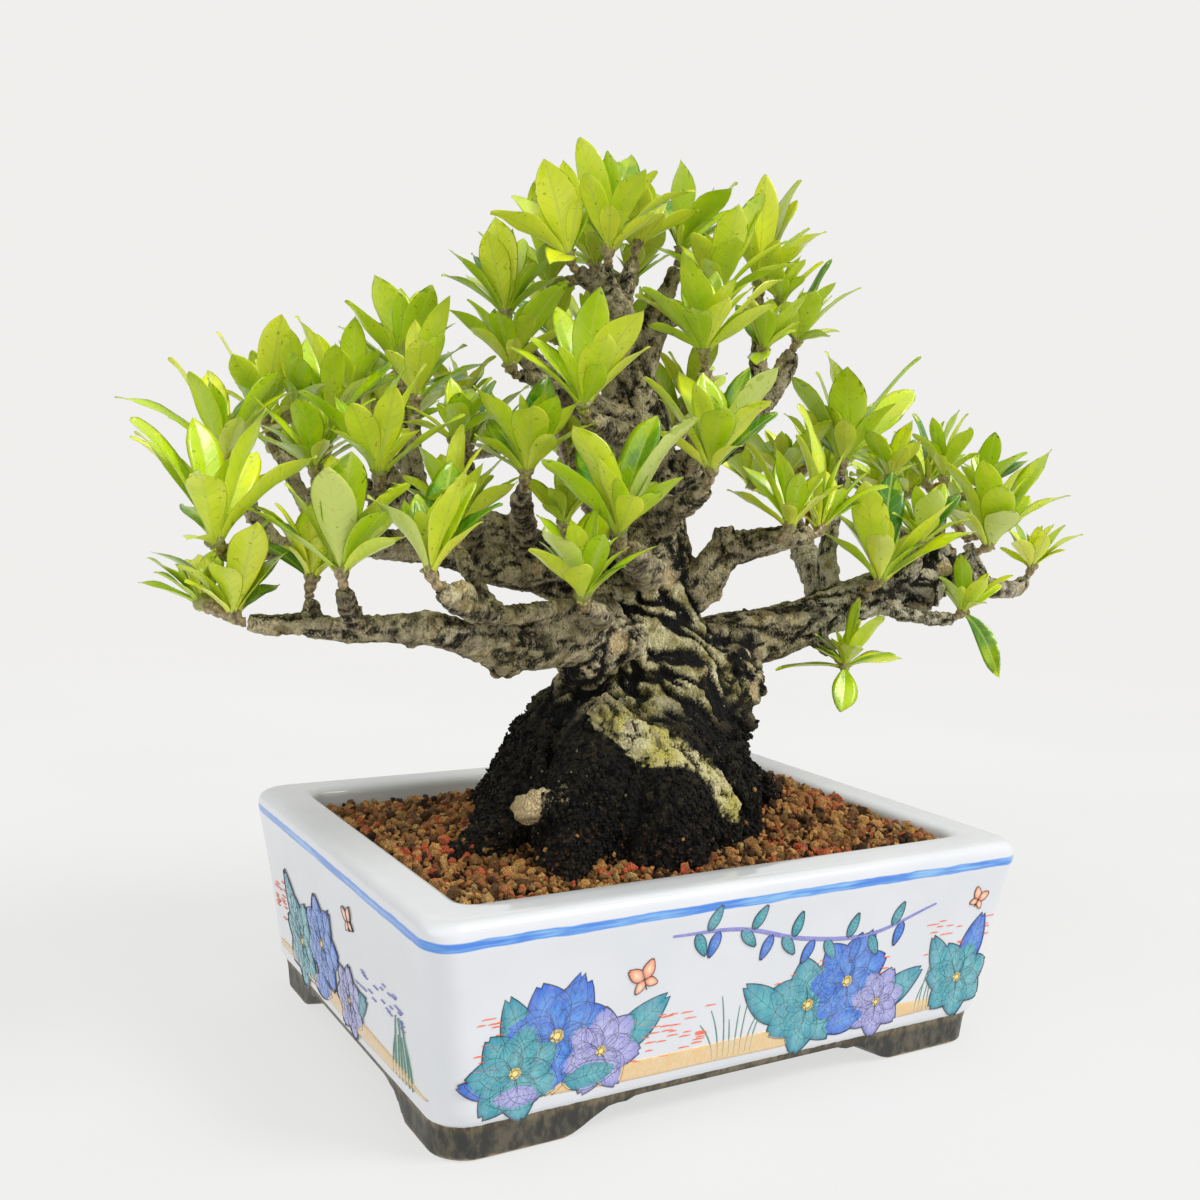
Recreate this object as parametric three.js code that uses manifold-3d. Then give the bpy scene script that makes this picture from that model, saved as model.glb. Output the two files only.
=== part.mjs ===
// A gardenia bonsai in a rectangular glazed porcelain pot.
//
// Millimetres, +Z up. The long side of the pot lies along X and the front faces -Y.
// Everything is drawn with the centre of the pot at x = 0, y = 0 and its feet at z = 0.
// At the end the whole object is slid sideways so that the origin lies under the
// middle of its bounding box.

import * as THREE from "three";
import { mergeVertices } from "three/addons/utils/BufferGeometryUtils.js";
import Module from "manifold-3d";

const wasm = await Module();
wasm.setup();

// Driving sizes

const POT_HALF_X = 80;          // at the blue line, the widest place
const POT_HALF_Y = 62.5;
const POT_HEIGHT = 52.8;        // top of the rim above the table
const BLUE_LINE_Z = 48.3;       // the painted line round the rim
const POT_CORNER = 6.5;         // corner radius seen from above
const WALL_LEAN = 5.3;          // how far the wall comes in from the line to its foot
const WALL_FOOT_Z = 7.6;        // where the wall ends and the feet begin
const MOUTH_INSET = 12.3;       // from the widest outline to the mouth
const FLOOR_INSET = 17.5;       // from the widest outline to the inside of the floor
const FLOOR_TOP_Z = 14;
const FOOT_INSET = 6.8;         // from the widest outline to the outside of the feet
const FOOT_WIDTH = 9;
const DRAIN_RADIUS = 7;
const DRAIN_X = 30;
const GAP = 0.3;                // clearance between pieces that touch on the real thing

const SOIL_EDGE_Z = 49.6;       // soil along the rim
const SOIL_HEAP = 7;            // how much higher it lies at the trunk
const SOIL_DROP = 2.2;          // how much lower it lies along the back
const SIDE_HEAP = [36, -6, 9];  // a smaller heap against the roots on the right: x, y, height
const SIDE_SPREAD = 365;        // twice the square of how far that heap reaches
const SOIL_SEED = 42;
const SOIL_CELL = 8;            // spacing of the soil relief
const SOIL_GRAIN = 0.75;        // height of the soil relief, up and down

const BLADE_THICKNESS = 1.1;    // at the midrib of a leaf
const BLADE_FOLD = 0.16;        // how far the edges rise, as a part of the half width
const PETIOLE_HALF = 0.6;
const SHOOT_RADIUS = 1.1;
const FORK_HEIGHT = 1.2;        // straight part of a shoot above its twig
const HEAD_RADIUS = 2;
const BLADE_CLEARANCE = 2.4;    // between sample points of two blades
const WOOD_CLEARANCE = 1.0;     // between a blade's middle and bark
const PETIOLE_REACH = 4;        // part of a leaf that may lie close to its own twig
const ROSETTE_REACH = 8;        // part of a leaf that may lie close to its neighbours in a rosette
const ROOT_DEPTH = 1.6;         // from the middle of a rosette back to the root of a leaf

// Materials

const glaze = new THREE.MeshStandardMaterial({ color: 0xf1f4f8, roughness: 0.16, metalness: 0 });
const grit = new THREE.MeshStandardMaterial({ color: 0x6b4632, roughness: 0.95, metalness: 0 });
const bark = new THREE.MeshStandardMaterial({ color: 0x6e6252, roughness: 0.9, metalness: 0 });
const leafGreen = new THREE.MeshStandardMaterial({ color: 0x86b52c, roughness: 0.42, metalness: 0 });
const screenBlack = new THREE.MeshStandardMaterial({ color: 0x1d1f20, roughness: 0.6, metalness: 0 });

// The skeleton of the tree: limbs as rows of [x, y, z, radius]

const LIMBS = {
  trunk: [
    [-4, -3, 38, 38], [-4, -3, 49, 36], [-2, -3, 58, 30], [1, -2, 69, 26], [4, -1, 82, 23],
    [4, 0, 92, 20], [4, 1, 102, 16], [5, 2, 112, 12.5], [6, 2, 124, 10], [5, 3, 138, 8.4],
    [4, 4, 150, 7], [1, 4, 161, 6], [-3, 2, 171, 5.2], [-8, 0, 179, 4.5], [-14, -4, 185, 3.4],
  ],
  leftLow: [
    [-4, -4, 96, 9], [-18, -12, 99, 7.6], [-31, -18, 101, 6.4], [-45, -24, 101, 5.2],
    [-56, -28, 103, 4.4], [-66, -30, 106, 3.6], [-75, -28, 106, 3.2], [-85, -26, 106, 2.9],
    [-94, -24, 107, 2.5], [-101, -23, 107, 2.1],
  ],
  leftThin: [
    [-12, -8, 106, 4], [-20, -15, 108, 3], [-30, -21, 109, 2.3], [-44, -29, 109, 2.1],
    [-57, -35, 109.5, 2.2], [-66, -39, 112, 2],
  ],
  leftHigh: [
    [-2, 0, 106, 8.5], [-14, 0, 111, 6.4], [-29, 0, 116, 5.4], [-42, 2, 118, 4.6],
    [-54, 4, 121, 4.2], [-69, 4, 122, 3.6], [-82, 2, 122, 3], [-94, 0, 121, 2.5],
  ],
  leftRise: [[-53, 4, 121, 3.6], [-57, 5, 132, 3], [-59, 6, 143, 2.6]],
  crownLeft: [[3, 4, 150, 5.4], [-12, 5, 157, 4.2], [-23, 6, 163, 3.2], [-31, 6, 170, 2.6]],
  midRight: [
    [8, -3, 104, 7], [16, -8, 113, 5], [20.5, -11, 121, 4.3], [28, -15, 124, 3.6],
    [36, -19, 126, 2.9],
  ],
  right: [
    [8, 0, 94, 10], [22, 1, 94, 8.4], [36, 1, 97, 7.8], [46, 0, 99, 7.4], [56, -1, 102, 7],
    [64, -2, 105, 6.4], [71, -3, 107, 6.2], [82, -4, 110, 6.6], [91, -4, 113, 7.4],
    [104, -3, 115, 6.2], [114, -3, 112, 4.2], [128, -2, 110, 2.8], [137, -2, 110, 2.3],
  ],
  rightThin: [[74, -6, 107, 2.6], [84, -13, 104, 2.1], [93, -16, 103, 1.9]],
  highRight: [
    [5, 3, 134, 6.6], [16, 0, 143, 5.2], [26, -3, 151, 4.3], [34, -5, 160, 3.7],
    [40, -5, 167, 3], [43, -4, 171, 2.5],
  ],
  crownRight: [[0, 4, 164, 5], [4, 4, 174, 4], [7, 3, 183, 3.2]],
  backLeft: [
    [0, 4, 108, 8], [-16, 15, 118, 5.4], [-34, 26, 127, 4.2], [-52, 34, 132, 3.2],
    [-64, 37, 136, 2.6],
  ],
  back: [[4, 6, 114, 8], [12, 21, 122, 5.6], [18, 35, 130, 4.2], [20, 45, 135, 3]],
  backRight: [[64, -2, 105, 6], [69, 12, 114, 4.2], [73, 25, 123, 3.2], [77, 35, 130, 2.6]],
  backHigh: [[4, 4, 146, 6], [8, 16, 155, 4.2], [8, 26, 162, 3.2], [7, 31, 167, 2.6]],
};

// Roots and swellings around the base, ending under the soil.
const ROOTS = [
  [[-10, -6, 70, 11], [-27, -9, 60, 9], [-43, -12, 52, 7.5], [-58, -15, 42, 5]],
  [[-12, -14, 76, 10], [-29, -28, 62, 8.5], [-39, -36, 44, 6]],
  [[-18, -20, 66, 6], [-35, -29, 65, 4.6], [-47, -32, 66, 3.6]],
  [[0, -14, 74, 12], [-7, -31, 60, 11], [-10, -39, 43, 8]],
  [[-21, -20, 86, 3.6], [-13, -27.5, 77, 4], [-2, -31, 70, 4.2], [6, -33, 64, 3.8], [10, -31, 54, 3]],
  [[9, -12, 76, 9.5], [14, -22, 61, 8.5], [17, -28, 43, 7]],
  [[14, -4, 78, 9.5], [25, -6, 62, 8.5], [34, -8, 45, 7]],
  [[12, 10, 76, 10], [25, 25, 60, 8], [31, 31, 43, 6]],
  [[0, 14, 76, 11], [-4, 33, 60, 9], [-6, 39, 43, 6]],
  [[-10, 8, 72, 10], [-19, 22, 56, 7.5], [-30, 29, 43, 5]],
];

// Burls, each a ball [x, y, z, radius]; the last one stands in the soil.
const BURLS = [
  [27, -6, 87, 10.5], [33, 1, 92, 8], [20, -13, 80, 8.5], [-20, -12, 96, 8], [98, -4, 116, 9.5],
  [92, -7, 110, 6.5], [-47, -22, 96.5, 4], [29, -17, 60, 6],
];

// Cut stubs, left when a branch was taken off.
const STUBS = [
  [[-2, -6, 98, 5], [-12, -18, 100, 3.2]],
  [[4, 2, 114, 5], [6, -9.5, 116, 3]],
  [[-29, 0, 116, 3.6], [-31, -7, 117, 2.4]],
  [[20.5, -11, 121, 3.6], [20, -11, 128, 2.6]],
  [[-60, -35, 110, 2.2], [-66, -38.5, 116, 2.6]],
];

// The leafy sprays
//
// continues: the limb that the twig carries on from; any other twig starts inside its limb
// twig: woody twig, as [x, y, z, radius], up to the tip that carries the spray
// heads: rosettes of the spray, with where each sits, its leaves one by one as
// [heading, rise, length, width] with both angles in degrees, and how many more leaves
// are placed by rule

const SPRAYS = {
  left_tip: {
    continues: "leftHigh",
    twig: [[-103, -11, 121, 2.2], [-109, -22, 121.5, 1.8]],
    heads: [
      { at: [-112, -26, 124], fill: 1,
        leaves: [[118, 41, 31, 8], [-66, 63, 30, 7.5], [45, 52, 24, 6.5], [-119, 6, 20, 4.5]] },
    ],
  },
  left_far: {
    twig: [[-91, 0.5, 121, 1.9], [-98, 3, 130, 1.9], [-102, 5, 136, 1.7]],
    heads: [
      { at: [-103, 5, 140], fill: 1,
        leaves: [[-143, 58, 22, 6], [87, 56, 25, 7], [160, 33, 26, 5], [55, 47, 24, 6]] },
    ],
  },
  left_crest: {
    twig: [[-80, 3, 122, 2.1], [-86, 9, 136, 1.9], [-90, 14, 146, 1.7]],
    heads: [
      { at: [-91, 17, 151], fill: 2, leaves: [[-143, 45, 18, 6], [40, 31, 18, 5.5], [86, 33, 18, 5]] },
      { at: [-84, 14, 152], fill: 1, leaves: [[47, 56, 23, 6.5], [-94, 22, 16, 4.5]] },
    ],
  },
  left_low_end: {
    continues: "leftLow",
    twig: [[-104.5, -22, 107.5, 1.9]],
    heads: [
      { at: [-107, -21, 109], fill: 0,
        leaves: [[-92, 54, 24, 8], [20, 48, 17, 4.5], [-157, 43, 16, 4.5]] },
      { at: [-112, -15, 111], fill: 0, leaves: [[-148, 31, 14, 4.5], [80, 36, 16, 4.5], [170, 20, 13, 4]] },
    ],
  },
  left_low_yellow: {
    twig: [[-91, -25, 106, 1.9], [-91.5, -22, 112, 1.8]],
    heads: [{ at: [-91, -21, 116], fill: 1, leaves: [[-154, 47, 22, 7], [64, 32, 20, 5.5]] }],
  },
  left_low_front: {
    twig: [[-82, -27, 106, 2.2], [-86, -31, 110, 2.4], [-88, -33, 115, 2.2]],
    heads: [
      { at: [-89, -34, 119], fill: 1,
        leaves: [[-119, 59, 24, 9.5], [76, 55, 29, 7], [53, 37, 22, 6], [-79, 24, 20, 5]] },
    ],
  },
  left_thin_end: {
    continues: "leftThin",
    twig: [[-70, -40, 115.5, 2]],
    heads: [
      { at: [-72, -39, 119], fill: 1,
        leaves: [
          [-161, 42, 24, 7.5], [86, 36, 24, 6.5], [50, 54, 28, 8], [5, 62, 28, 5], [-80, 34, 20, 4.5],
        ] },
    ],
  },
  left_inner: {
    twig: [[-84, 1, 122, 2], [-85, -3, 130, 1.9], [-85.5, -5, 135, 1.7]],
    heads: [{ at: [-86, -6, 139], fill: 2,
        leaves: [[-121, 44, 21, 7], [-147, 17, 18, 5.5], [61, 27, 18, 5]] }],
  },
  left_top: {
    twig: [[-58, 6, 138, 1.9], [-65, 9, 146, 1.8], [-71, 11, 150, 1.7]],
    heads: [
      { at: [-77, 9, 150], fill: 1, leaves: [[-170, 60, 25, 8.5], [-120, 32, 19, 5]] },
      { at: [-70, 16, 155], fill: 2, leaves: [[98, 36, 20, 6], [150, 43, 16, 4.5], [-129, 47, 16, 4.5]] },
    ],
  },
  left_mid: {
    twig: [[-69, 3, 122, 2.3], [-72, -7, 130, 2], [-74, -13, 135, 1.8]],
    heads: [{ at: [-75, -16, 138.5], fill: 1,
        leaves: [[-135, 45, 20, 7], [-62, 64, 26, 7], [46, 34, 20, 6]] }],
  },
  left_peak: {
    continues: "leftRise",
    twig: [[-59, 13, 152, 2], [-58, 16, 159, 1.7]],
    heads: [{ at: [-57, 18, 163], fill: 1, leaves: [[-168, 72, 24, 9.5], [75, 30, 20, 6], [56, 56, 26, 7]] }],
  },
  left_rise: {
    twig: [[-58, 5, 134, 1.9], [-60, 1, 145, 1.8], [-60, 1, 152, 1.7]],
    heads: [{ at: [-60, 1, 156], fill: 0, leaves: [[-56, 68, 25, 7], [30, 47, 25, 7], [26, 20, 19, 6]] }],
  },
  left_small: {
    twig: [[-42, 2, 118, 2.8], [-49, -4, 134, 2], [-53, -8, 143, 1.7]],
    heads: [{ at: [-55, -10, 147], fill: 1,
        leaves: [[-111, 25, 18, 6], [-160, 12, 16, 5], [58, 20, 18, 5]] }],
  },
  left_pale: {
    twig: [[-54, -34, 109.5, 1.7], [-58, -28, 117, 1.7], [-59, -24, 122, 1.6]],
    heads: [{ at: [-59, -22.5, 126], fill: 0,
        leaves: [[-105, 66, 24, 5.5], [78, 40, 23, 6], [150, 30, 18, 5]] }],
  },
  centre_upper: {
    continues: "crownLeft",
    twig: [[-34, 6, 174.5, 2]],
    heads: [
      { at: [-35, 6, 178], fill: 1,
        leaves: [[180, 41, 21, 6.5], [-150, 64, 23, 9], [99, 32, 22, 6], [50, 58, 24, 7], [-60, 30, 16, 5]] },
    ],
  },
  centre_left: {
    twig: [[-20, 5.5, 161, 2.4], [-29, 2, 163, 1.9], [-34, 0, 163, 1.7]],
    heads: [{ at: [-37, -1, 165], fill: 1,
        leaves: [[-133, 38, 19, 6.5], [160, 40, 20, 6], [-40, 34, 16, 5]] }],
  },
  centre_fork: {
    twig: [[-32, 0, 116, 3.2], [-34, -5, 126, 3], [-40, -15, 133, 2.4], [-43, -22, 136, 1.9]],
    heads: [
      { at: [-44, -25, 140], fill: 1,
        leaves: [[-169, 52, 23, 8], [47, 61, 26, 7], [67, 35, 20, 7], [-90, 30, 16, 5]] },
    ],
  },
  centre_front: {
    twig: [[2, 2, 146, 4.6], [-9, -9, 149, 3.4], [-22, -20, 151, 2.6], [-31, -29, 152, 2]],
    heads: [
      { at: [-34, -32, 155], fill: 1,
        leaves: [
          [93, 60, 27, 7.5], [-101, 39, 22, 8.5], [-75, 52, 26, 9.5], [120, 33, 24, 6.5], [20, 45, 20, 6],
        ] },
    ],
  },
  centre_low: {
    twig: [[3, -2, 115, 7], [-7, -16, 118, 4.4], [-17, -29, 121, 3.4], [-27, -40, 124, 2.4]],
    heads: [
      { at: [-30, -43, 127.5], fill: 1,
        leaves: [[-176, 40, 25, 7], [89, 56, 27, 7.5], [-51, 60, 30, 10.5], [29, 35, 21, 6]] },
    ],
  },
  centre_lowest: {
    twig: [[-16, -11, 105, 3.4], [-26, -29, 108, 2.4], [-36, -40, 111, 2]],
    heads: [{ at: [-39, -44, 114], fill: 0,
        leaves: [[-149, 41, 23, 9.5], [54, 49, 25, 8], [20, 37, 20, 4.5]] }],
  },
  centre_sprout: {
    twig: [[-25, 0, 115, 2.4], [-29, -14, 122, 1.8], [-32, -20, 125, 1.6]],
    heads: [{ at: [-33, -23, 128.5], fill: 0, leaves: [[-140, 46, 12, 4.5], [44, 43, 13, 4.5]] }],
  },
  crown_left: {
    continues: "trunk",
    twig: [[-20, -6, 186.5, 2.2], [-23, -7, 188, 1.8]],
    heads: [
      { at: [-26, -8, 191], fill: 1,
        leaves: [
          [-151, 63, 23, 10], [-178, 23, 22, 8], [94, 42, 25, 7], [-128, -12, 21, 7], [140, 55, 22, 7],
        ] },
    ],
  },
  crown_tip: {
    twig: [[-11, -2, 182, 2.6], [-15.5, -8, 187, 2], [-17, -11, 189.5, 1.7]],
    heads: [
      { at: [-17.5, -12, 193], fill: 1,
        leaves: [[-180, 68, 26, 9], [36, 65, 28, 9], [-74, 59, 22, 6], [-120, 30, 16, 5]] },
    ],
  },
  crown_mid: {
    twig: [[-7, 0.5, 177, 3], [-4, 2, 188, 2.1], [-2, 2.5, 194, 1.7]],
    heads: [{ at: [-1, 2.5, 198], fill: 1, leaves: [[-151, 42, 14, 4.5], [67, 57, 20, 6], [20, 48, 17, 5]] }],
  },
  crown_right: {
    continues: "crownRight",
    twig: [[10, 4, 189, 2.1], [12, 4, 194, 1.8]],
    heads: [
      { at: [13, 4, 198], fill: 1,
        leaves: [
          [-133, 76, 23, 8.5], [84, 55, 26, 7.5], [30, 66, 24, 7.5], [0, 50, 26, 6.5], [-80, 30, 14, 4.5],
        ] },
    ],
  },
  crown_front: {
    twig: [[5, 3, 177, 2.4], [11, -2, 182, 2], [15, -6, 184, 1.8]],
    heads: [
      { at: [17, -9, 186], fill: 1,
        leaves: [[-7, 70, 29, 8.5], [-35, 62, 28, 5], [-113, 38, 20, 8.5], [-60, 20, 18, 6]] },
    ],
  },
  crown_low: {
    twig: [[14, 0, 141, 3.2], [10, -12, 150, 2.6], [6, -20, 160, 2.1], [4, -23, 166, 1.8]],
    heads: [
      { at: [2.5, -24.5, 170], fill: 1,
        leaves: [
          [-178, 38, 22, 7.5], [98, 43, 21, 6.5], [-103, 52, 20, 7.5], [9, 44, 28, 8.5], [-50, 35, 20, 6],
        ] },
    ],
  },
  front_fork: {
    twig: [[5, 0, 128, 6], [1, -16, 132, 3.8], [-1, -28, 135, 2.9], [-2, -34, 138, 2.2]],
    heads: [
      { at: [-2.5, -37, 142], fill: 1,
        leaves: [[88, 56, 29, 8], [-62, 58, 28, 9], [175, 58, 27, 7], [-104, 20, 17, 5.5], [15, 40, 22, 6]] },
    ],
  },
  right_peak: {
    twig: [[33, -5, 158, 2.6], [34.5, -3, 172, 2.2], [36, 0, 182, 1.8]],
    heads: [
      { at: [37, 2, 192], fill: 2, leaves: [[-15, 70, 30, 10], [56, 48, 23, 7], [180, 50, 20, 6]] },
      { at: [39, -5, 187], fill: 0, leaves: [[-40, 45, 15, 4.5], [-100, 40, 15, 4.5]] },
    ],
  },
  right_high: {
    continues: "highRight",
    twig: [[44.5, -4, 174.5, 2.2]],
    heads: [
      { at: [46, -4, 177.5], fill: 1,
        leaves: [
          [-14, 68, 24, 5.5], [22, 42, 22, 6], [10, 14, 18, 7], [-143, 37, 15, 5], [-92, 4, 14, 4.5],
        ] },
    ],
  },
  right_low_high: {
    twig: [[24, -3, 149, 2.8], [27, -8, 161, 2.1], [28.5, -10.5, 169, 1.8]],
    heads: [{ at: [29, -12, 173], fill: 1,
        leaves: [[58, 41, 16, 5], [-153, 53, 15, 5], [-130, -14, 17, 6]] }],
  },
  mid_right_left: {
    twig: [[25, -14, 122.5, 2.6], [27.5, -22.5, 125, 1.9]],
    heads: [{ at: [29.5, -26, 129], fill: 0,
        leaves: [[150, 60, 25, 5.5], [-60, 40, 16, 8], [30, 45, 16, 6]] }],
  },
  mid_right_tip: {
    continues: "midRight",
    twig: [[41, -20, 126.5, 2.2]],
    heads: [
      { at: [44.5, -19.5, 128], fill: 1,
        leaves: [[118, 78, 33, 10], [52, 52, 23, 7.5], [15, 32, 19, 6]] },
    ],
  },
  right_tall: {
    twig: [[64, -1, 106, 3.4], [66, 3, 119, 2.8], [71, 7, 132, 2.2], [75, 9.5, 142, 1.8]],
    heads: [
      { at: [76, 10.5, 146], fill: 1,
        leaves: [[-22, 56, 38, 7], [121, 72, 28, 8], [-127, 43, 18, 6.5], [95, 45, 18, 6.5]] },
    ],
  },
  right_inner: {
    twig: [[67, -4, 107, 3.2], [69, -11, 111, 2.4]],
    heads: [{ at: [70.5, -14.5, 114], fill: 0,
        leaves: [[109, 48, 29, 9], [50, 67, 33, 9.5], [-80, 40, 17, 6]] }],
  },
  right_burl_left: {
    twig: [[88, -6, 114, 3.2], [85, -13, 121, 2]],
    heads: [{ at: [83.5, -16, 124.5], fill: 1,
        leaves: [[-155, 58, 18, 8.5], [14, 64, 19, 6.5], [-60, 30, 15, 5]] }],
  },
  right_crest_left: {
    twig: [[88, -3, 114, 3.2], [90, 2, 128, 2.1], [90, 4.5, 138, 1.8]],
    heads: [
      { at: [90, 5.5, 142], fill: 2, leaves: [[-167, 52, 18, 6.5], [28, 51, 18, 6.5], [-80, 50, 15, 5]] },
    ],
  },
  right_crest: {
    twig: [[100, -2, 117, 3.4], [107, 3, 127, 2.6], [110, 5, 134, 2.1]],
    heads: [
      { at: [111, 12, 141], fill: 2, leaves: [[94, 70, 23, 7], [-5, 70, 24, 7]] },
      { at: [110, 4, 143], fill: 1, leaves: [[-62, 75, 20, 7], [180, 54, 18, 6]] },
      { at: [119, -3, 139.5], fill: 1, leaves: [[-115, 66, 19, 6], [40, 54, 18, 6], [-30, 45, 17, 5.5]] },
    ],
  },
  right_burl_right: {
    twig: [[103, -4, 116, 3.2], [112, -8, 121, 2.1]],
    heads: [
      { at: [115.5, -10, 123.5], fill: 0,
        leaves: [[-20, 60, 34, 8.5], [-117, 40, 18, 9.5], [60, 40, 19, 8.5]] },
    ],
  },
  right_tip: {
    continues: "right",
    twig: [[140.5, -2, 113, 1.8]],
    heads: [
      { at: [143, -2, 116.5], fill: 0,
        leaves: [[-49, 38, 18, 5.5], [23, 34, 16, 5], [124, 66, 17, 5], [-5, 62, 16, 5], [-120, 45, 15, 5]] },
    ],
  },
  right_under: {
    twig: [[56, -3, 99, 3.2], [58.5, -10, 94, 2.1]],
    heads: [
      { at: [60, -14, 91], fill: 0,
        leaves: [[-128, -48, 15, 7.5], [-3, 4, 20, 7], [150, 4, 19, 5], [-40, 18, 14, 4.5]] },
    ],
  },
  right_strap: {
    continues: "rightThin",
    twig: [[97, -16, 103.5, 1.7]],
    heads: [{ at: [100.5, -16, 105], fill: 0,
        leaves: [[-45, -35, 19, 5], [30, 25, 15, 4.5], [-100, 20, 12, 4]] }],
  },
  back_left_end: {
    continues: "backLeft",
    twig: [[-68, 38, 138, 2]],
    heads: [
      { at: [-72, 39, 141], fill: 5, leaves: [] },
      { at: [-84, 34, 144], fill: 5, leaves: [] },
      { at: [-66, 48, 145], fill: 5, leaves: [] },
    ],
  },
  back_left_mid: {
    twig: [[-49, 33, 131.5, 2.4], [-53, 38, 141, 2], [-54, 39.5, 147, 1.8]],
    heads: [
      { at: [-54, 41, 151], fill: 5, leaves: [] },
      { at: [-44, 47, 151], fill: 4, leaves: [] },
      { at: [-58, 32, 157], fill: 5, leaves: [] },
    ],
  },
  back_left_inner: {
    twig: [[-31, 24, 126, 2.8], [-32, 33, 136, 2.2], [-31, 36, 142, 1.9]],
    heads: [
      { at: [-30, 38, 146], fill: 5, leaves: [] },
      { at: [-19, 44, 146], fill: 4, leaves: [] },
      { at: [-37, 29, 156], fill: 5, leaves: [] },
    ],
  },
  back_end: {
    continues: "back",
    twig: [[20.5, 48.5, 138, 2.2]],
    heads: [
      { at: [21, 51, 141.5], fill: 5, leaves: [] },
      { at: [10, 56, 144], fill: 5, leaves: [] },
      { at: [31, 49, 146], fill: 5, leaves: [] },
    ],
  },
  back_mid: {
    twig: [[11, 20, 121, 3.6], [3, 31, 133, 2.6], [0, 36, 141, 2.1]],
    heads: [
      { at: [-1, 38, 145.5], fill: 5, leaves: [] },
      { at: [-7, 30, 154], fill: 4, leaves: [] },
      { at: [9, 40, 154], fill: 4, leaves: [] },
    ],
  },
  back_inner: {
    twig: [[16, 32, 128, 2.8], [25, 31, 141, 2.2], [29, 29, 149, 1.9]],
    heads: [
      { at: [30, 28, 153], fill: 5, leaves: [] },
      { at: [38, 34, 155], fill: 5, leaves: [] },
      { at: [27, 20, 161], fill: 4, leaves: [] },
    ],
  },
  back_right_end: {
    continues: "backRight",
    twig: [[79, 38, 133, 2]],
    heads: [
      { at: [81, 41, 136.5], fill: 5, leaves: [] },
      { at: [69, 45, 139], fill: 5, leaves: [] },
      { at: [91, 35, 142], fill: 4, leaves: [] },
    ],
  },
  back_right_mid: {
    twig: [[72, 21, 121, 2.4], [68, 23, 132, 2], [66, 24, 137, 1.8]],
    heads: [
      { at: [65, 24, 141], fill: 5, leaves: [] },
      { at: [72, 17, 147], fill: 4, leaves: [] },
    ],
  },
  back_right_burl: {
    twig: [[98, -1, 118, 4], [99, 12, 126, 2.8], [101, 21, 133, 2.1]],
    heads: [
      { at: [102, 25, 136.5], fill: 5, leaves: [] },
      { at: [113, 22, 138], fill: 5, leaves: [] },
      { at: [92, 31, 135], fill: 4, leaves: [] },
    ],
  },
  back_right_tip: {
    twig: [[126, -2, 110, 2], [128, 7, 117, 2], [127.5, 10, 123, 1.8]],
    heads: [
      { at: [127, 14, 128], fill: 5, leaves: [] },
      { at: [134, 7, 127], fill: 4, leaves: [] },
    ],
  },
  back_high: {
    continues: "backHigh",
    twig: [[6, 33.5, 170.5, 2]],
    heads: [
      { at: [5, 35, 173.5], fill: 5, leaves: [] },
      { at: [-7, 35, 177], fill: 5, leaves: [] },
      { at: [17, 32, 177], fill: 5, leaves: [] },
    ],
  },
  back_crown: {
    twig: [[-5, 1.5, 175, 3.4], [-5, 11, 183, 2.6], [-5, 15, 190, 1.9]],
    heads: [
      { at: [-5, 17, 194], fill: 5, leaves: [] },
      { at: [-17, 19, 188], fill: 5, leaves: [] },
      { at: [8, 20, 192], fill: 4, leaves: [] },
    ],
  },
};

// Rule for the leaves that are not listed one by one.
const GOLDEN_ANGLE = 137.5;
const RULE_RISE = [30, 62];
const RULE_LENGTH = [18, 27];
const RULE_SLENDERNESS = 0.31;

// Turns of heading and rise that a leaf tries, in order, until it hangs clear.
const TRIES = [
  [0, 0], [9, 0], [-9, 0], [0, 9], [0, -9], [18, 4], [-18, 4], [27, 8], [-27, 8],
  [40, 0], [-40, 0], [12, 20], [-12, 20], [55, 10], [-55, 10], [12, -20], [-12, -20],
];
const LAST_LENGTH = 0.8;        // a leaf that finds no room is tried once more at this size

// Every leaf is turned about its own length and arched by its own random draw.
const ROLL = [-25, 25];
const ARCH = [0.05, 0.3];
const TWIST_SEED = 7000;
const HEADS_PER_SPRAY = 100;

// Small helpers

const rad = THREE.MathUtils.degToRad;

function vec(p) {
  return new THREE.Vector3(p[0], p[1], p[2]);
}

function between([low, high], part) {
  return low + (high - low) * part;
}

// Repeatable random numbers between 0 and 1.
function seeded(seed) {
  let state = seed >>> 0;
  return function next() {
    state = (state + 0x6d2b79f5) >>> 0;
    let t = state;
    t = Math.imul(t ^ (t >>> 15), t | 1);
    t ^= t + Math.imul(t ^ (t >>> 7), t | 61);
    return ((t ^ (t >>> 14)) >>> 0) / 4294967296;
  };
}

function closedMesh(points, faces) {
  const geometry = new THREE.BufferGeometry();
  geometry.setAttribute("position", new THREE.Float32BufferAttribute(points.flat(), 3));
  geometry.setIndex(faces.flat());
  return geometry;
}

function toSolid(geometry) {
  let clean = geometry.clone();
  clean.deleteAttribute("normal");
  clean.deleteAttribute("uv");
  clean = mergeVertices(clean, 1e-4);
  return new wasm.Manifold(new wasm.Mesh({
    numProp: 3,
    vertProperties: clean.attributes.position.array,
    triVerts: new Uint32Array(clean.index.array),
  }));
}

function fromSolid(solid) {
  const mesh = solid.getMesh();
  const geometry = new THREE.BufferGeometry();
  geometry.setAttribute("position", new THREE.BufferAttribute(mesh.vertProperties, 3));
  geometry.setIndex(new THREE.BufferAttribute(mesh.triVerts, 1));
  geometry.computeVertexNormals();
  return geometry;
}

function joinAll(geometries) {
  return wasm.Manifold.union(geometries.map(toSolid));
}

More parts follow.
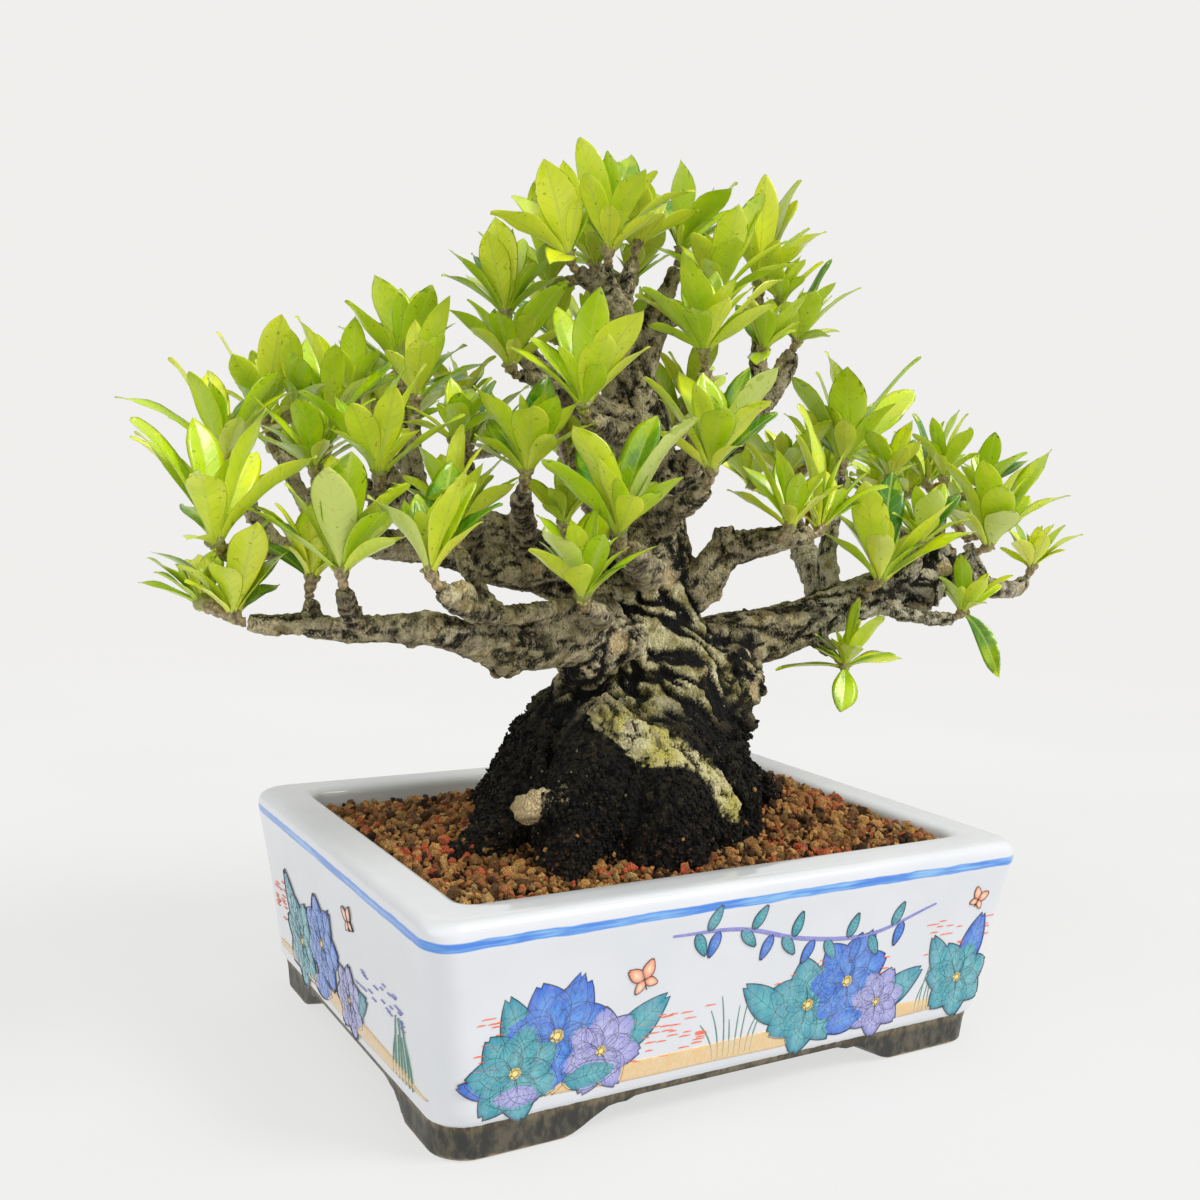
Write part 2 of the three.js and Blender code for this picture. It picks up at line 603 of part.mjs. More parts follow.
// Skin over a stack of rings with the same number of points, closed at both ends.
function loft(rings) {
  const count = rings[0].length;
  const points = rings.flat();
  const faces = [];
  for (let i = 0; i + 1 < rings.length; i += 1) {
    for (let j = 0; j < count; j += 1) {
      const a = i * count + j;
      const b = i * count + (j + 1) % count;
      faces.push([a, b, b + count], [a, b + count, a + count]);
    }
  }
  const top = (rings.length - 1) * count;
  for (let j = 1; j + 1 < count; j += 1) {
    faces.push([0, j + 1, j]);
    faces.push([top, top + j, top + j + 1]);
  }
  return closedMesh(points, faces);
}

// Tapered tube along stations [x, y, z, radius]; its frame turns as little as it can.
function taperedTube(stations, sides) {
  const rings = [];
  let across = null;
  stations.forEach((station, i) => {
    const before = vec(stations[Math.max(i - 1, 0)]);
    const after = vec(stations[Math.min(i + 1, stations.length - 1)]);
    const along = after.sub(before).normalize();
    if (across === null) {
      across = Math.abs(along.x) > 0.8 ? new THREE.Vector3(0, 1, 0) : new THREE.Vector3(1, 0, 0);
    }
    across.addScaledVector(along, -across.dot(along)).normalize();
    const third = along.clone().cross(across);
    const ring = [];
    for (let j = 0; j < sides; j += 1) {
      const angle = (j / sides) * 2 * Math.PI;
      const p = vec(station)
        .addScaledVector(across, station[3] * Math.cos(angle))
        .addScaledVector(third, station[3] * Math.sin(angle));
      ring.push(p.toArray());
    }
    rings.push(ring);
  });
  return loft(rings);
}

function ball([x, y, z, radius], detail) {
  return new THREE.IcosahedronGeometry(radius, detail).translate(x, y, z);
}

// Leaves

// Stations of a blade: part of the length, part of the half width.
const BLADE_STATIONS = [[0.33, 0.64], [0.67, 1]];
const BLADE_SAMPLES = 14;

// Half width of a blade at a part s of its length, straight between the stations.
function halfWidth(leaf, s) {
  const middle = BLADE_STATIONS.map(([at, part]) => [at, part * leaf.width / 2]);
  const knots = [[-1, PETIOLE_HALF], [0, PETIOLE_HALF], ...middle, [1, 0]];
  for (let i = 0; i + 1 < knots.length; i += 1) {
    const [s0, w0] = knots[i];
    const [s1, w1] = knots[i + 1];
    if (s <= s1) {
      return w0 + (w1 - w0) * (s - s0) / (s1 - s0);
    }
  }
  return 0;
}

// Axes of a leaf: along it, to its right, and out of its upper face.
function leafAxes(leaf) {
  const h = rad(leaf.heading);
  const r = rad(leaf.rise);
  const along = new THREE.Vector3(Math.cos(r) * Math.cos(h), Math.cos(r) * Math.sin(h), Math.sin(r));
  const face = new THREE.Vector3(-Math.sin(r) * Math.cos(h), -Math.sin(r) * Math.sin(h), Math.cos(r));
  const right = new THREE.Vector3(Math.sin(h), -Math.cos(h), 0);
  const turn = rad(leaf.roll);
  const up = face.clone().multiplyScalar(Math.cos(turn)).addScaledVector(right, Math.sin(turn));
  right.multiplyScalar(Math.cos(turn)).addScaledVector(face, -Math.sin(turn));
  return { along, right, up };
}

// Point of the blade's middle surface: s along it, t from -1 (left) to 1 (right).
function bladePoint(leaf, axes, s, t) {
  const w = halfWidth(leaf, s);
  return vec(leaf.at)
    .addScaledVector(axes.along, leaf.length * s)
    .addScaledVector(axes.up, leaf.length * leaf.arch * (s - s * s) + BLADE_FOLD * w * Math.abs(t))
    .addScaledVector(axes.right, w * t);
}

function bladeSamples(leaf) {
  const axes = leafAxes(leaf);
  const samples = [];
  for (let i = 1; i <= BLADE_SAMPLES; i += 1) {
    for (const t of [-1, -0.5, 0, 0.5, 1]) {
      samples.push(bladePoint(leaf, axes, i / BLADE_SAMPLES, t));
    }
  }
  return samples;
}

// Closed blade, flat above and keeled below, that runs from a point sunk in its shoot
// to the point of its tip.
function bladeGeometry(leaf) {
  const axes = leafAxes(leaf);
  const points = [bladePoint(leaf, axes, -ROOT_DEPTH / leaf.length, 0).toArray()];
  for (const [s] of BLADE_STATIONS) {
    const keel = bladePoint(leaf, axes, s, 0).addScaledVector(axes.up, -BLADE_THICKNESS);
    points.push(bladePoint(leaf, axes, s, -1).toArray());
    points.push(bladePoint(leaf, axes, s, 1).toArray());
    points.push(keel.toArray());
  }
  points.push(bladePoint(leaf, axes, 1, 0).toArray());
  const last = 3 * BLADE_STATIONS.length - 2;
  const faces = [[0, 2, 1], [0, 3, 2], [0, 1, 3]];
  for (let i = 1; i < last; i += 3) {
    const [l, r, k] = [i, i + 1, i + 2];
    faces.push([l, r, r + 3], [l, r + 3, l + 3]);
    faces.push([r, k, k + 3], [r, k + 3, r + 3]);
    faces.push([k, l, l + 3], [k, l + 3, k + 3]);
  }
  for (let k = 0; k < 3; k += 1) {
    faces.push([last + k, last + (k + 1) % 3, last + 3]);
  }
  return closedMesh(points, faces);
}

// Where every leaf goes

// Straight tapered pieces of bark and shoot that the leaves keep clear of.
function capsules(stations, owner) {
  const list = [];
  for (let i = 0; i + 1 < stations.length; i += 1) {
    const [first, second] = [stations[i], stations[i + 1]];
    list.push({ a: vec(first), b: vec(second), ra: first[3], rb: second[3], owner });
  }
  return list;
}

function capsuleDistance(point, capsule) {
  const axis = capsule.b.clone().sub(capsule.a);
  const s = THREE.MathUtils.clamp(point.clone().sub(capsule.a).dot(axis) / axis.lengthSq(), 0, 1);
  const foot = capsule.a.clone().addScaledVector(axis, s);
  return point.distanceTo(foot) - (capsule.ra + (capsule.rb - capsule.ra) * s);
}

// Stations of a spray's twig, with the end of the limb that it carries on.
function twigRow(spray) {
  if (spray.continues === undefined) {
    return spray.twig;
  }
  return [LIMBS[spray.continues].at(-1), ...spray.twig];
}

// Green shoots of a spray: from just above the twig's tip to each rosette.
function shootsOf(spray) {
  const [before, last] = twigRow(spray).slice(-2);
  const tip = vec(last);
  const start = tip.clone().sub(vec(before)).normalize();
  const foot = tip.clone().addScaledVector(start, GAP);
  const fork = foot.clone().addScaledVector(start, FORK_HEIGHT);
  return spray.heads.map((head, i) => {
    const out = vec(head.at).sub(fork).normalize();
    const end = vec(head.at).addScaledVector(out, HEAD_RADIUS / 2);
    const row = [[...fork.toArray(), SHOOT_RADIUS], [...end.toArray(), HEAD_RADIUS]];
    return i === 0 ? [[...foot.toArray(), SHOOT_RADIUS], ...row] : row;
  });
}

function placeLeaves() {
  const names = Object.keys(SPRAYS);
  const obstacles = [...ROOTS, ...STUBS, ...Object.values(LIMBS)].flatMap((row) => capsules(row, ""));
  for (const [x, y, z, radius] of BURLS) {
    obstacles.push({ a: vec([x, y, z]), b: vec([x, y, z + 0.1]), ra: radius, rb: radius, owner: "" });
  }
  for (const name of names) {
    obstacles.push(...capsules(twigRow(SPRAYS[name]), ""));
    obstacles.push(...shootsOf(SPRAYS[name]).flatMap((row) => capsules(row, name)));
  }
  const wanted = [];
  let number = 0;
  const want = (owner, at, heading, rise, length, width) => {
    const draw = seeded(TWIST_SEED + number);
    number += 1;
    const roll = between(ROLL, draw());
    const arch = between(ARCH, draw());
    wanted.push({ owner, at, heading, rise, length, width, roll, arch });
  };
  for (const name of names) {
    for (const head of SPRAYS[name].heads) {
      for (const [heading, rise, length, width] of head.leaves) {
        want(name, head.at, heading, rise, length, width);
      }
    }
  }
  names.forEach((name, i) => {
    SPRAYS[name].heads.forEach((head, j) => {
      const draw = seeded(HEADS_PER_SPRAY * i + j);
      const first = 360 * draw();
      for (let k = 0; k < head.fill; k += 1) {
        const rise = between(RULE_RISE, draw());
        const length = between(RULE_LENGTH, draw());
        want(name, head.at, first + GOLDEN_ANGLE * k, rise, length, RULE_SLENDERNESS * length);
      }
    });
  });
  const choices = [1, LAST_LENGTH].flatMap((scale) => TRIES.map(([turn, lift]) => [turn, lift, scale]));
  const placed = [];
  for (const leaf of wanted) {
    const near = placed.filter((other) => (
      vec(other.at).distanceTo(vec(leaf.at)) < other.length + leaf.length + BLADE_CLEARANCE
    ));
    for (const [turn, lift, scale] of choices) {
      const candidate = {
        ...leaf,
        heading: leaf.heading + turn,
        rise: leaf.rise + lift,
        length: leaf.length * scale,
        width: leaf.width * scale,
      };
      const samples = bladeSamples(candidate);
      if (isClear(candidate, samples, near, obstacles)) {
        candidate.samples = samples;
        placed.push(candidate);
        break;
      }
    }
  }
  return placed;
}

function isClear(leaf, samples, others, obstacles) {
  const head = vec(leaf.at);
  for (const point of samples) {
    const atRoot = point.distanceTo(head) < PETIOLE_REACH;
    for (const capsule of obstacles) {
      const skip = capsule.owner === leaf.owner || (atRoot && capsule.owner === "");
      if (!skip && capsuleDistance(point, capsule) < WOOD_CLEARANCE) {
        return false;
      }
    }
    for (const other of others) {
      if (other.at === leaf.at && point.distanceTo(head) < ROSETTE_REACH) {
        continue;
      }
      for (const q of other.samples) {
        if (point.distanceToSquared(q) < BLADE_CLEARANCE * BLADE_CLEARANCE) {
          return false;
        }
      }
    }
  }
  return true;
}

// The pot

// Outline of a rounded rectangle at height z, counter-clockwise from above.
function roundedOutline(halfX, halfY, corner, z, perCorner = 3) {
  const ring = [];
  const quarters = [[1, 1, 0], [-1, 1, 90], [-1, -1, 180], [1, -1, 270]];
  for (const [sx, sy, start] of quarters) {
    for (let i = 0; i <= perCorner; i += 1) {
      const angle = rad(start + 90 * i / perCorner);
      ring.push([
        sx * (halfX - corner) + corner * Math.cos(angle),
        sy * (halfY - corner) + corner * Math.sin(angle),
        z,
      ]);
    }
  }
  return ring;
}

function potOutline(inset, z, corner = POT_CORNER) {
  return roundedOutline(POT_HALF_X - inset, POT_HALF_Y - inset, corner, z);
}

function potBody() {
  return loft([
    potOutline(WALL_LEAN + 2.4, WALL_FOOT_Z - 1, 7),
    potOutline(WALL_LEAN + 0.5, WALL_FOOT_Z, 8),
    potOutline(WALL_LEAN - 0.3, WALL_FOOT_Z + 2, 8),
    potOutline(0, BLUE_LINE_Z),
    potOutline(0.1, POT_HEIGHT - 2.2),
    potOutline(1, POT_HEIGHT - 0.7),
    potOutline(2.6, POT_HEIGHT),
    potOutline(MOUTH_INSET - 2.4, POT_HEIGHT, 5),
    potOutline(MOUTH_INSET - 0.8, POT_HEIGHT - 0.6, 4.5),
    potOutline(MOUTH_INSET, POT_HEIGHT - 2, 4),
    potOutline(FLOOR_INSET - 0.6, FLOOR_TOP_Z + 2.4, 4),
    potOutline(FLOOR_INSET + 2, FLOOR_TOP_Z, 4),
  ]);
}

// A corner foot runs round its corner; each gap between feet has sloping ends.
function footRing() {
  const outer = loft([
    potOutline(FOOT_INSET + 0.8, 0, 8),
    potOutline(FOOT_INSET, 0.8, 8),
    potOutline(FOOT_INSET - 0.8, WALL_FOOT_Z - 0.4, 8),
    potOutline(FOOT_INSET - 0.6, WALL_FOOT_Z + 2, 8),
  ]);
  const hole = loft([
    potOutline(FOOT_INSET + FOOT_WIDTH, -1, 4),
    potOutline(FOOT_INSET + FOOT_WIDTH, WALL_FOOT_Z - 1.2, 4),
  ]);
  return toSolid(outer).subtract(toSolid(hole));
}

function footGap(bottomHalf, topHalf, length) {
  const profile = new THREE.Shape([
    new THREE.Vector2(-bottomHalf, -1),
    new THREE.Vector2(bottomHalf, -1),
    new THREE.Vector2(bottomHalf - 1, 1.6),
    new THREE.Vector2(topHalf + 2, WALL_FOOT_Z - 2.4),
    new THREE.Vector2(topHalf - 3, WALL_FOOT_Z - 1.2),
    new THREE.Vector2(-topHalf + 3, WALL_FOOT_Z - 1.2),
    new THREE.Vector2(-topHalf - 2, WALL_FOOT_Z - 2.4),
    new THREE.Vector2(-bottomHalf + 1, 1.6),
  ]);
  return new THREE.ExtrudeGeometry(profile, { depth: length, bevelEnabled: false })
    .translate(0, 0, -length / 2)
    .rotateX(Math.PI / 2);
}

function potSolid() {
  let feet = footRing();
  feet = feet.subtract(toSolid(footGap(45, 29, 200)));
  feet = feet.subtract(toSolid(footGap(35, 25, 240).rotateZ(Math.PI / 2)));
  let pot = toSolid(potBody()).add(feet);
  for (const side of [-1, 1]) {
    const drain = new THREE.CylinderGeometry(DRAIN_RADIUS, DRAIN_RADIUS, 30, 16)
      .rotateX(Math.PI / 2)
      .translate(side * DRAIN_X, 0, 8);
    pot = pot.subtract(toSolid(drain));
  }
  return pot;
}

// Drain screens and soil

const SCREEN_SIDE = 24;
const SCREEN_THICK = 1.2;
const SCREEN_HOLE = 7;
const SCREEN_PITCH = 10;

function screenSolid(x) {
  const z = FLOOR_TOP_Z + GAP + SCREEN_THICK / 2;
  let sheet = toSolid(new THREE.BoxGeometry(SCREEN_SIDE, SCREEN_SIDE, SCREEN_THICK).translate(x, 0, z));
  for (const column of [-0.5, 0.5]) {
    for (const row of [-0.5, 0.5]) {
      const hole = new THREE.BoxGeometry(SCREEN_HOLE, SCREEN_HOLE, 3 * SCREEN_THICK)
        .translate(x + column * SCREEN_PITCH, row * SCREEN_PITCH, z);
      sheet = sheet.subtract(toSolid(hole));
    }
  }
  return sheet;
}

// Height of the soil: level along the front, a little lower behind, heaped at the trunk.
function soilHeight(x, y) {
  const heap = SOIL_HEAP * Math.exp(-((x + 2) ** 2 / 1500 + (y + 4) ** 2 / 700));
  const apart = (x - SIDE_HEAP[0]) ** 2 + (y - SIDE_HEAP[1]) ** 2;
  const side = SIDE_HEAP[2] * Math.exp(-apart / SIDE_SPREAD);
  const behind = SOIL_DROP * THREE.MathUtils.smoothstep(y, 10, 48);
  return SOIL_EDGE_Z + heap + side - behind;
}

function soilSolid(rootsHole) {
  const columns = Math.ceil(2 * (POT_HALF_X - MOUTH_INSET) / SOIL_CELL) + 1;
  const rows = Math.ceil(2 * (POT_HALF_Y - MOUTH_INSET) / SOIL_CELL) + 1;
  const x0 = -columns * SOIL_CELL / 2;
  const y0 = -rows * SOIL_CELL / 2;
  const draw = seeded(SOIL_SEED);
  const points = [];
  const faces = [];
  for (let j = 0; j <= rows; j += 1) {
    for (let i = 0; i <= columns; i += 1) {
      const x = x0 + i * SOIL_CELL + (draw() - 0.5) * SOIL_CELL * 0.5;
      const y = y0 + j * SOIL_CELL + (draw() - 0.5) * SOIL_CELL * 0.5;
      points.push([x, y, soilHeight(x, y) + (2 * draw() - 1) * SOIL_GRAIN]);
    }
  }
  const width = columns + 1;
  for (let j = 0; j < rows; j += 1) {
    for (let i = 0; i < columns; i += 1) {
      const a = j * width + i;
      faces.push([a, a + 1, a + 1 + width], [a, a + 1 + width, a + width]);
    }
  }
  const along = [...Array(columns).keys()];
  const up = [...Array(rows).keys()];
  const rim = [
    ...along,
    ...up.map((j) => j * width + columns),
    ...along.map((i) => rows * width + columns - i),
    ...up.map((j) => (rows - j) * width),
  ];
  const below = points.length;
  rim.forEach((k) => points.push([points[k][0], points[k][1], 0]));
  const centre = points.length;
  points.push([0, 0, 0]);
  rim.forEach((k, n) => {
    const m = (n + 1) % rim.length;
    faces.push([k, below + n, below + m], [k, below + m, rim[m]], [below + m, below + n, centre]);
  });
  const inside = loft([
    potOutline(FLOOR_INSET + 2 + GAP, FLOOR_TOP_Z + GAP, 4),
    potOutline(FLOOR_INSET - 0.6 + GAP, FLOOR_TOP_Z + 2.4 + GAP, 4),
    potOutline(MOUTH_INSET + GAP, POT_HEIGHT - 2, 4),
    potOutline(MOUTH_INSET + GAP, POT_HEIGHT + 12, 4),
  ]);
  let soil = toSolid(closedMesh(points, faces)).intersect(toSolid(inside));
  for (const side of [-1, 1]) {
    const size = SCREEN_SIDE + 2 * GAP;
    const room = new THREE.BoxGeometry(size, size, 2 * (SCREEN_THICK + 2 * GAP))
      .translate(side * DRAIN_X, 0, FLOOR_TOP_Z);
    soil = soil.subtract(toSolid(room));
  }
  return soil.subtract(rootsHole);
}

// Wood

const TRUNK_SIDES = 12;
const LIMB_SIDES = 5;
const TWIG_SIDES = 4;

// The same tube with its skin and both ends moved out.
function thicker(row, extra) {
  const moved = row.map(([x, y, z, radius]) => [x, y, z, radius + extra]);
  for (const [end, next] of [[0, 1], [row.length - 1, row.length - 2]]) {
    const out = vec(row[end]).sub(vec(row[next])).setLength(extra);
    moved[end] = [...vec(row[end]).add(out).toArray(), row[end][3] + extra];
  }
  return moved;
}

// What of the tree stands in the soil, with its skin moved out.
function baseParts(extra) {
  return [
    taperedTube(thicker(LIMBS.trunk.slice(0, 7), extra), TRUNK_SIDES),
    ...ROOTS.map((row) => taperedTube(thicker(row, extra), LIMB_SIDES)),
    ball([...BURLS.at(-1).slice(0, 3), BURLS.at(-1)[3] + 2 * extra], 0),
  ];
}

function woodSolid() {
  const sprays = Object.values(SPRAYS);
  const limbs = Object.entries(LIMBS).map(([name, row]) => {
    const next = sprays.find((spray) => spray.continues === name);
    const whole = next === undefined ? row : [...row, ...next.twig];
    return taperedTube(whole, name === "trunk" ? TRUNK_SIDES : LIMB_SIDES);
  });
  return joinAll([
    ...limbs,
    ...ROOTS.map((row) => taperedTube(row, LIMB_SIDES)),
    ...BURLS.map((burl) => ball(burl, burl[3] > 9 ? 1 : 0)),
    ...STUBS.map((row) => taperedTube(row, LIMB_SIDES)),
    ...sprays
      .filter((spray) => spray.continues === undefined)
      .map((spray) => taperedTube(spray.twig, TWIG_SIDES)),
  ]);
}

// The object

const bonsai = new THREE.Group();

function add(name, geometry, material) {
  const mesh = new THREE.Mesh(geometry, material);
  mesh.name = name;
  bonsai.add(mesh);
}

add("pot", fromSolid(potSolid()), glaze);
add("drain_screen_left", fromSolid(screenSolid(-DRAIN_X)), screenBlack);
add("drain_screen_right", fromSolid(screenSolid(DRAIN_X)), screenBlack);
add("soil", fromSolid(soilSolid(joinAll(baseParts(GAP + 0.1)))), grit);
add("trunk_and_limbs", fromSolid(woodSolid()), bark);

const leaves = placeLeaves();
for (const [name, spray] of Object.entries(SPRAYS)) {
  const blades = leaves.filter((leaf) => leaf.owner === name).map(bladeGeometry);
  const shoots = shootsOf(spray).map((row) => taperedTube(row, TWIG_SIDES));
  add(`spray_${name}`, fromSolid(joinAll([...shoots, ...blades])), leafGreen);
}

const middle = new THREE.Box3().setFromObject(bonsai).getCenter(new THREE.Vector3());
bonsai.position.set(-middle.x, -middle.y, 0);

export default bonsai;
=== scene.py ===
"""Looks of a gardenia bonsai in a glazed porcelain pot.

Lengths below are in millimetres, measured from the middle of the pot's footprint, with the
front of the pot facing -Y and +Z up. to_frame() turns them into the frame's metres.
"""
import math

import bpy
import numpy as np
from mathutils import Matrix, Vector


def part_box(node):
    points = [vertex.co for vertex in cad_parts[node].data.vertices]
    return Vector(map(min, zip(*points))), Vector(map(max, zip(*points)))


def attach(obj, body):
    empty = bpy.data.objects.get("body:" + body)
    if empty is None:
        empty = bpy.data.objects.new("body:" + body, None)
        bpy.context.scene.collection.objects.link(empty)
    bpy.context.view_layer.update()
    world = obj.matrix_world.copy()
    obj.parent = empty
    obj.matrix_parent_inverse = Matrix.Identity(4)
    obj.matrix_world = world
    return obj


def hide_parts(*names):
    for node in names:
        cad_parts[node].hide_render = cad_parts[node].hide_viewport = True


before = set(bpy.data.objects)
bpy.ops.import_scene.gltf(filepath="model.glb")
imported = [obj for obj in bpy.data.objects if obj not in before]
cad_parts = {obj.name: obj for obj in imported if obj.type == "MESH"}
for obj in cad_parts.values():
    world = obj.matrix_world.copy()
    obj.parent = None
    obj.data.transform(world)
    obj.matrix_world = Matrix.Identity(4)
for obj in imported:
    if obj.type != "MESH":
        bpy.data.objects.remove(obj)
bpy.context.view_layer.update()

MM = 0.001
POT_LOW, POT_HIGH = (np.array(corner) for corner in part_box("pot"))
POT_MIDDLE = np.array([(POT_LOW[0] + POT_HIGH[0]) / 2, (POT_LOW[1] + POT_HIGH[1]) / 2, 0.0])

# Pot
POT_HALF_X, POT_HALF_Y = (POT_HIGH[:2] - POT_LOW[:2]) / 2 / MM
POT_HEIGHT = POT_HIGH[2] / MM
BLUE_LINE_Z = 48.3
POT_CORNER = 6.5
WALL_LEAN = 5.3
WALL_FOOT_Z = 7.6
MOUTH_INSET = 12.3
FLOOR_INSET = 17.5
FLOOR_TOP_Z = 14
FOOT_INSET = 6.8
FOOT_WIDTH = 9
DRAIN_RADIUS = 7
DRAIN_X = 30
DRAIN_SIDES = 40
WALL_LOW_Z = 9.6
WALL_HOLLOW = 0.35
GAP = 0.3

# Soil
SOIL_EDGE_Z = 49.6
SOIL_HEAP = 7
SOIL_DROP = 2.2
SIDE_HEAP = (36, -6, 9)
SIDE_SPREAD = 365
HEAP_MIDDLE = (-2, -4)
HEAP_SPREAD = (1500, 700)
DROP_RUN = (10, 48)

# Leaves and shoots
BLADE_FOLD = 0.16
PETIOLE_HALF = 0.6
SHOOT_RADIUS = 1.1
FORK_HEIGHT = 1.2
HEAD_RADIUS = 2
BLADE_CLEARANCE = 2.4
WOOD_CLEARANCE = 1.0
PETIOLE_REACH = 4
ROSETTE_REACH = 8
BLADE_STATIONS = [(0.33, 0.64), (0.67, 1)]
BLADE_SAMPLES = 14
GOLDEN_ANGLE = 137.5
RULE_RISE = (30, 62)
RULE_LENGTH = (18, 27)
RULE_SLENDERNESS = 0.31
TRIES = [
    (0, 0), (9, 0), (-9, 0), (0, 9), (0, -9), (18, 4), (-18, 4), (27, 8), (-27, 8),
    (40, 0), (-40, 0), (12, 20), (-12, 20), (55, 10), (-55, 10), (12, -20), (-12, -20),
]
LAST_LENGTH = 0.8
ROLL = (-25, 25)
ARCH = (0.05, 0.3)
TWIST_SEED = 7000
HEADS_PER_SPRAY = 100
EXTRA_SEED = 52000
EXTRA_LEAVES = 14
EXTRA_TRIES = 6
EXTRA_LENGTH = (0.5, 0.95)
EXTRA_RISE = (25, 84)
EXTRA_SLENDERNESS = (0.25, 0.4)
EXTRA_ROOM = 0.3
FAR = 1e6

# The tree's skeleton: limbs as rows of (x, y, z, radius).
LIMBS = {
    "trunk": [
        (-4, -3, 38, 38), (-4, -3, 49, 36), (-2, -3, 58, 30), (1, -2, 69, 26), (4, -1, 82, 23),
        (4, 0, 92, 20), (4, 1, 102, 16), (5, 2, 112, 12.5), (6, 2, 124, 10), (5, 3, 138, 8.4),
        (4, 4, 150, 7), (1, 4, 161, 6), (-3, 2, 171, 5.2), (-8, 0, 179, 4.5), (-14, -4, 185, 3.4),
    ],
    "left_low": [
        (-4, -4, 96, 9), (-18, -12, 99, 7.6), (-31, -18, 101, 6.4), (-45, -24, 101, 5.2),
        (-56, -28, 103, 4.4), (-66, -30, 106, 3.6), (-75, -28, 106, 3.2), (-85, -26, 106, 2.9),
        (-94, -24, 107, 2.5), (-101, -23, 107, 2.1),
    ],
    "left_thin": [
        (-12, -8, 106, 4), (-20, -15, 108, 3), (-30, -21, 109, 2.3), (-44, -29, 109, 2.1),
        (-57, -35, 109.5, 2.2), (-66, -39, 112, 2),
    ],
    "left_high": [
        (-2, 0, 106, 8.5), (-14, 0, 111, 6.4), (-29, 0, 116, 5.4), (-42, 2, 118, 4.6), (-54, 4, 121, 4.2),
        (-69, 4, 122, 3.6), (-82, 2, 122, 3), (-94, 0, 121, 2.5),
    ],
    "left_rise": [(-53, 4, 121, 3.6), (-57, 5, 132, 3), (-59, 6, 143, 2.6)],
    "crown_left": [(3, 4, 150, 5.4), (-12, 5, 157, 4.2), (-23, 6, 163, 3.2), (-31, 6, 170, 2.6)],
    "mid_right": [
        (8, -3, 104, 7), (16, -8, 113, 5), (20.5, -11, 121, 4.3), (28, -15, 124, 3.6), (36, -19, 126, 2.9),
    ],
    "right": [
        (8, 0, 94, 10), (22, 1, 94, 8.4), (36, 1, 97, 7.8), (46, 0, 99, 7.4), (56, -1, 102, 7),
        (64, -2, 105, 6.4), (71, -3, 107, 6.2), (82, -4, 110, 6.6), (91, -4, 113, 7.4),
        (104, -3, 115, 6.2), (114, -3, 112, 4.2), (128, -2, 110, 2.8), (137, -2, 110, 2.3),
    ],
    "right_thin": [(74, -6, 107, 2.6), (84, -13, 104, 2.1), (93, -16, 103, 1.9)],
    "high_right": [
        (5, 3, 134, 6.6), (16, 0, 143, 5.2), (26, -3, 151, 4.3), (34, -5, 160, 3.7), (40, -5, 167, 3),
        (43, -4, 171, 2.5),
    ],
    "crown_right": [(0, 4, 164, 5), (4, 4, 174, 4), (7, 3, 183, 3.2)],
    "back_left": [
        (0, 4, 108, 8), (-16, 15, 118, 5.4), (-34, 26, 127, 4.2), (-52, 34, 132, 3.2), (-64, 37, 136, 2.6),
    ],
    "back": [(4, 6, 114, 8), (12, 21, 122, 5.6), (18, 35, 130, 4.2), (20, 45, 135, 3)],
    "back_right": [(64, -2, 105, 6), (69, 12, 114, 4.2), (73, 25, 123, 3.2), (77, 35, 130, 2.6)],
    "back_high": [(4, 4, 146, 6), (8, 16, 155, 4.2), (8, 26, 162, 3.2), (7, 31, 167, 2.6)],
}

# Roots and swellings around the base; number LICHEN_ROOT is the pale one that winds down the front.
ROOTS = [
    [(-10, -6, 70, 11), (-27, -9, 60, 9), (-43, -12, 52, 7.5), (-58, -15, 42, 5)],
    [(-12, -14, 76, 10), (-29, -28, 62, 8.5), (-39, -36, 44, 6)],
    [(-18, -20, 66, 6), (-35, -29, 65, 4.6), (-47, -32, 66, 3.6)],
    [(0, -14, 74, 12), (-7, -31, 60, 11), (-10, -39, 43, 8)],
    [(-21, -20, 86, 3.6), (-13, -27.5, 77, 4), (-2, -31, 70, 4.2), (6, -33, 64, 3.8), (10, -31, 54, 3)],
    [(9, -12, 76, 9.5), (14, -22, 61, 8.5), (17, -28, 43, 7)],
    [(14, -4, 78, 9.5), (25, -6, 62, 8.5), (34, -8, 45, 7)],
    [(12, 10, 76, 10), (25, 25, 60, 8), (31, 31, 43, 6)],
    [(0, 14, 76, 11), (-4, 33, 60, 9), (-6, 39, 43, 6)],
    [(-10, 8, 72, 10), (-19, 22, 56, 7.5), (-30, 29, 43, 5)],
]

# Cut stubs, left where a branch was taken off.
STUBS = [
    [(-2, -6, 98, 5), (-12, -18, 100, 3.2)],
    [(4, 2, 114, 5), (6, -9.5, 116, 3)],
    [(-29, 0, 116, 3.6), (-31, -7, 117, 2.4)],
    [(20.5, -11, 121, 3.6), (20, -11, 128, 2.6)],
    [(-60, -35, 110, 2.2), (-66, -38.5, 116, 2.6)],
]

# Burls, each a ball (x, y, z, radius).
BURLS = [
    (27, -6, 87, 10.5), (33, 1, 92, 8), (20, -13, 80, 8.5), (-20, -12, 96, 8), (98, -4, 116, 9.5),
    (92, -7, 110, 6.5), (-47, -22, 96.5, 4), (29, -17, 60, 6),
]

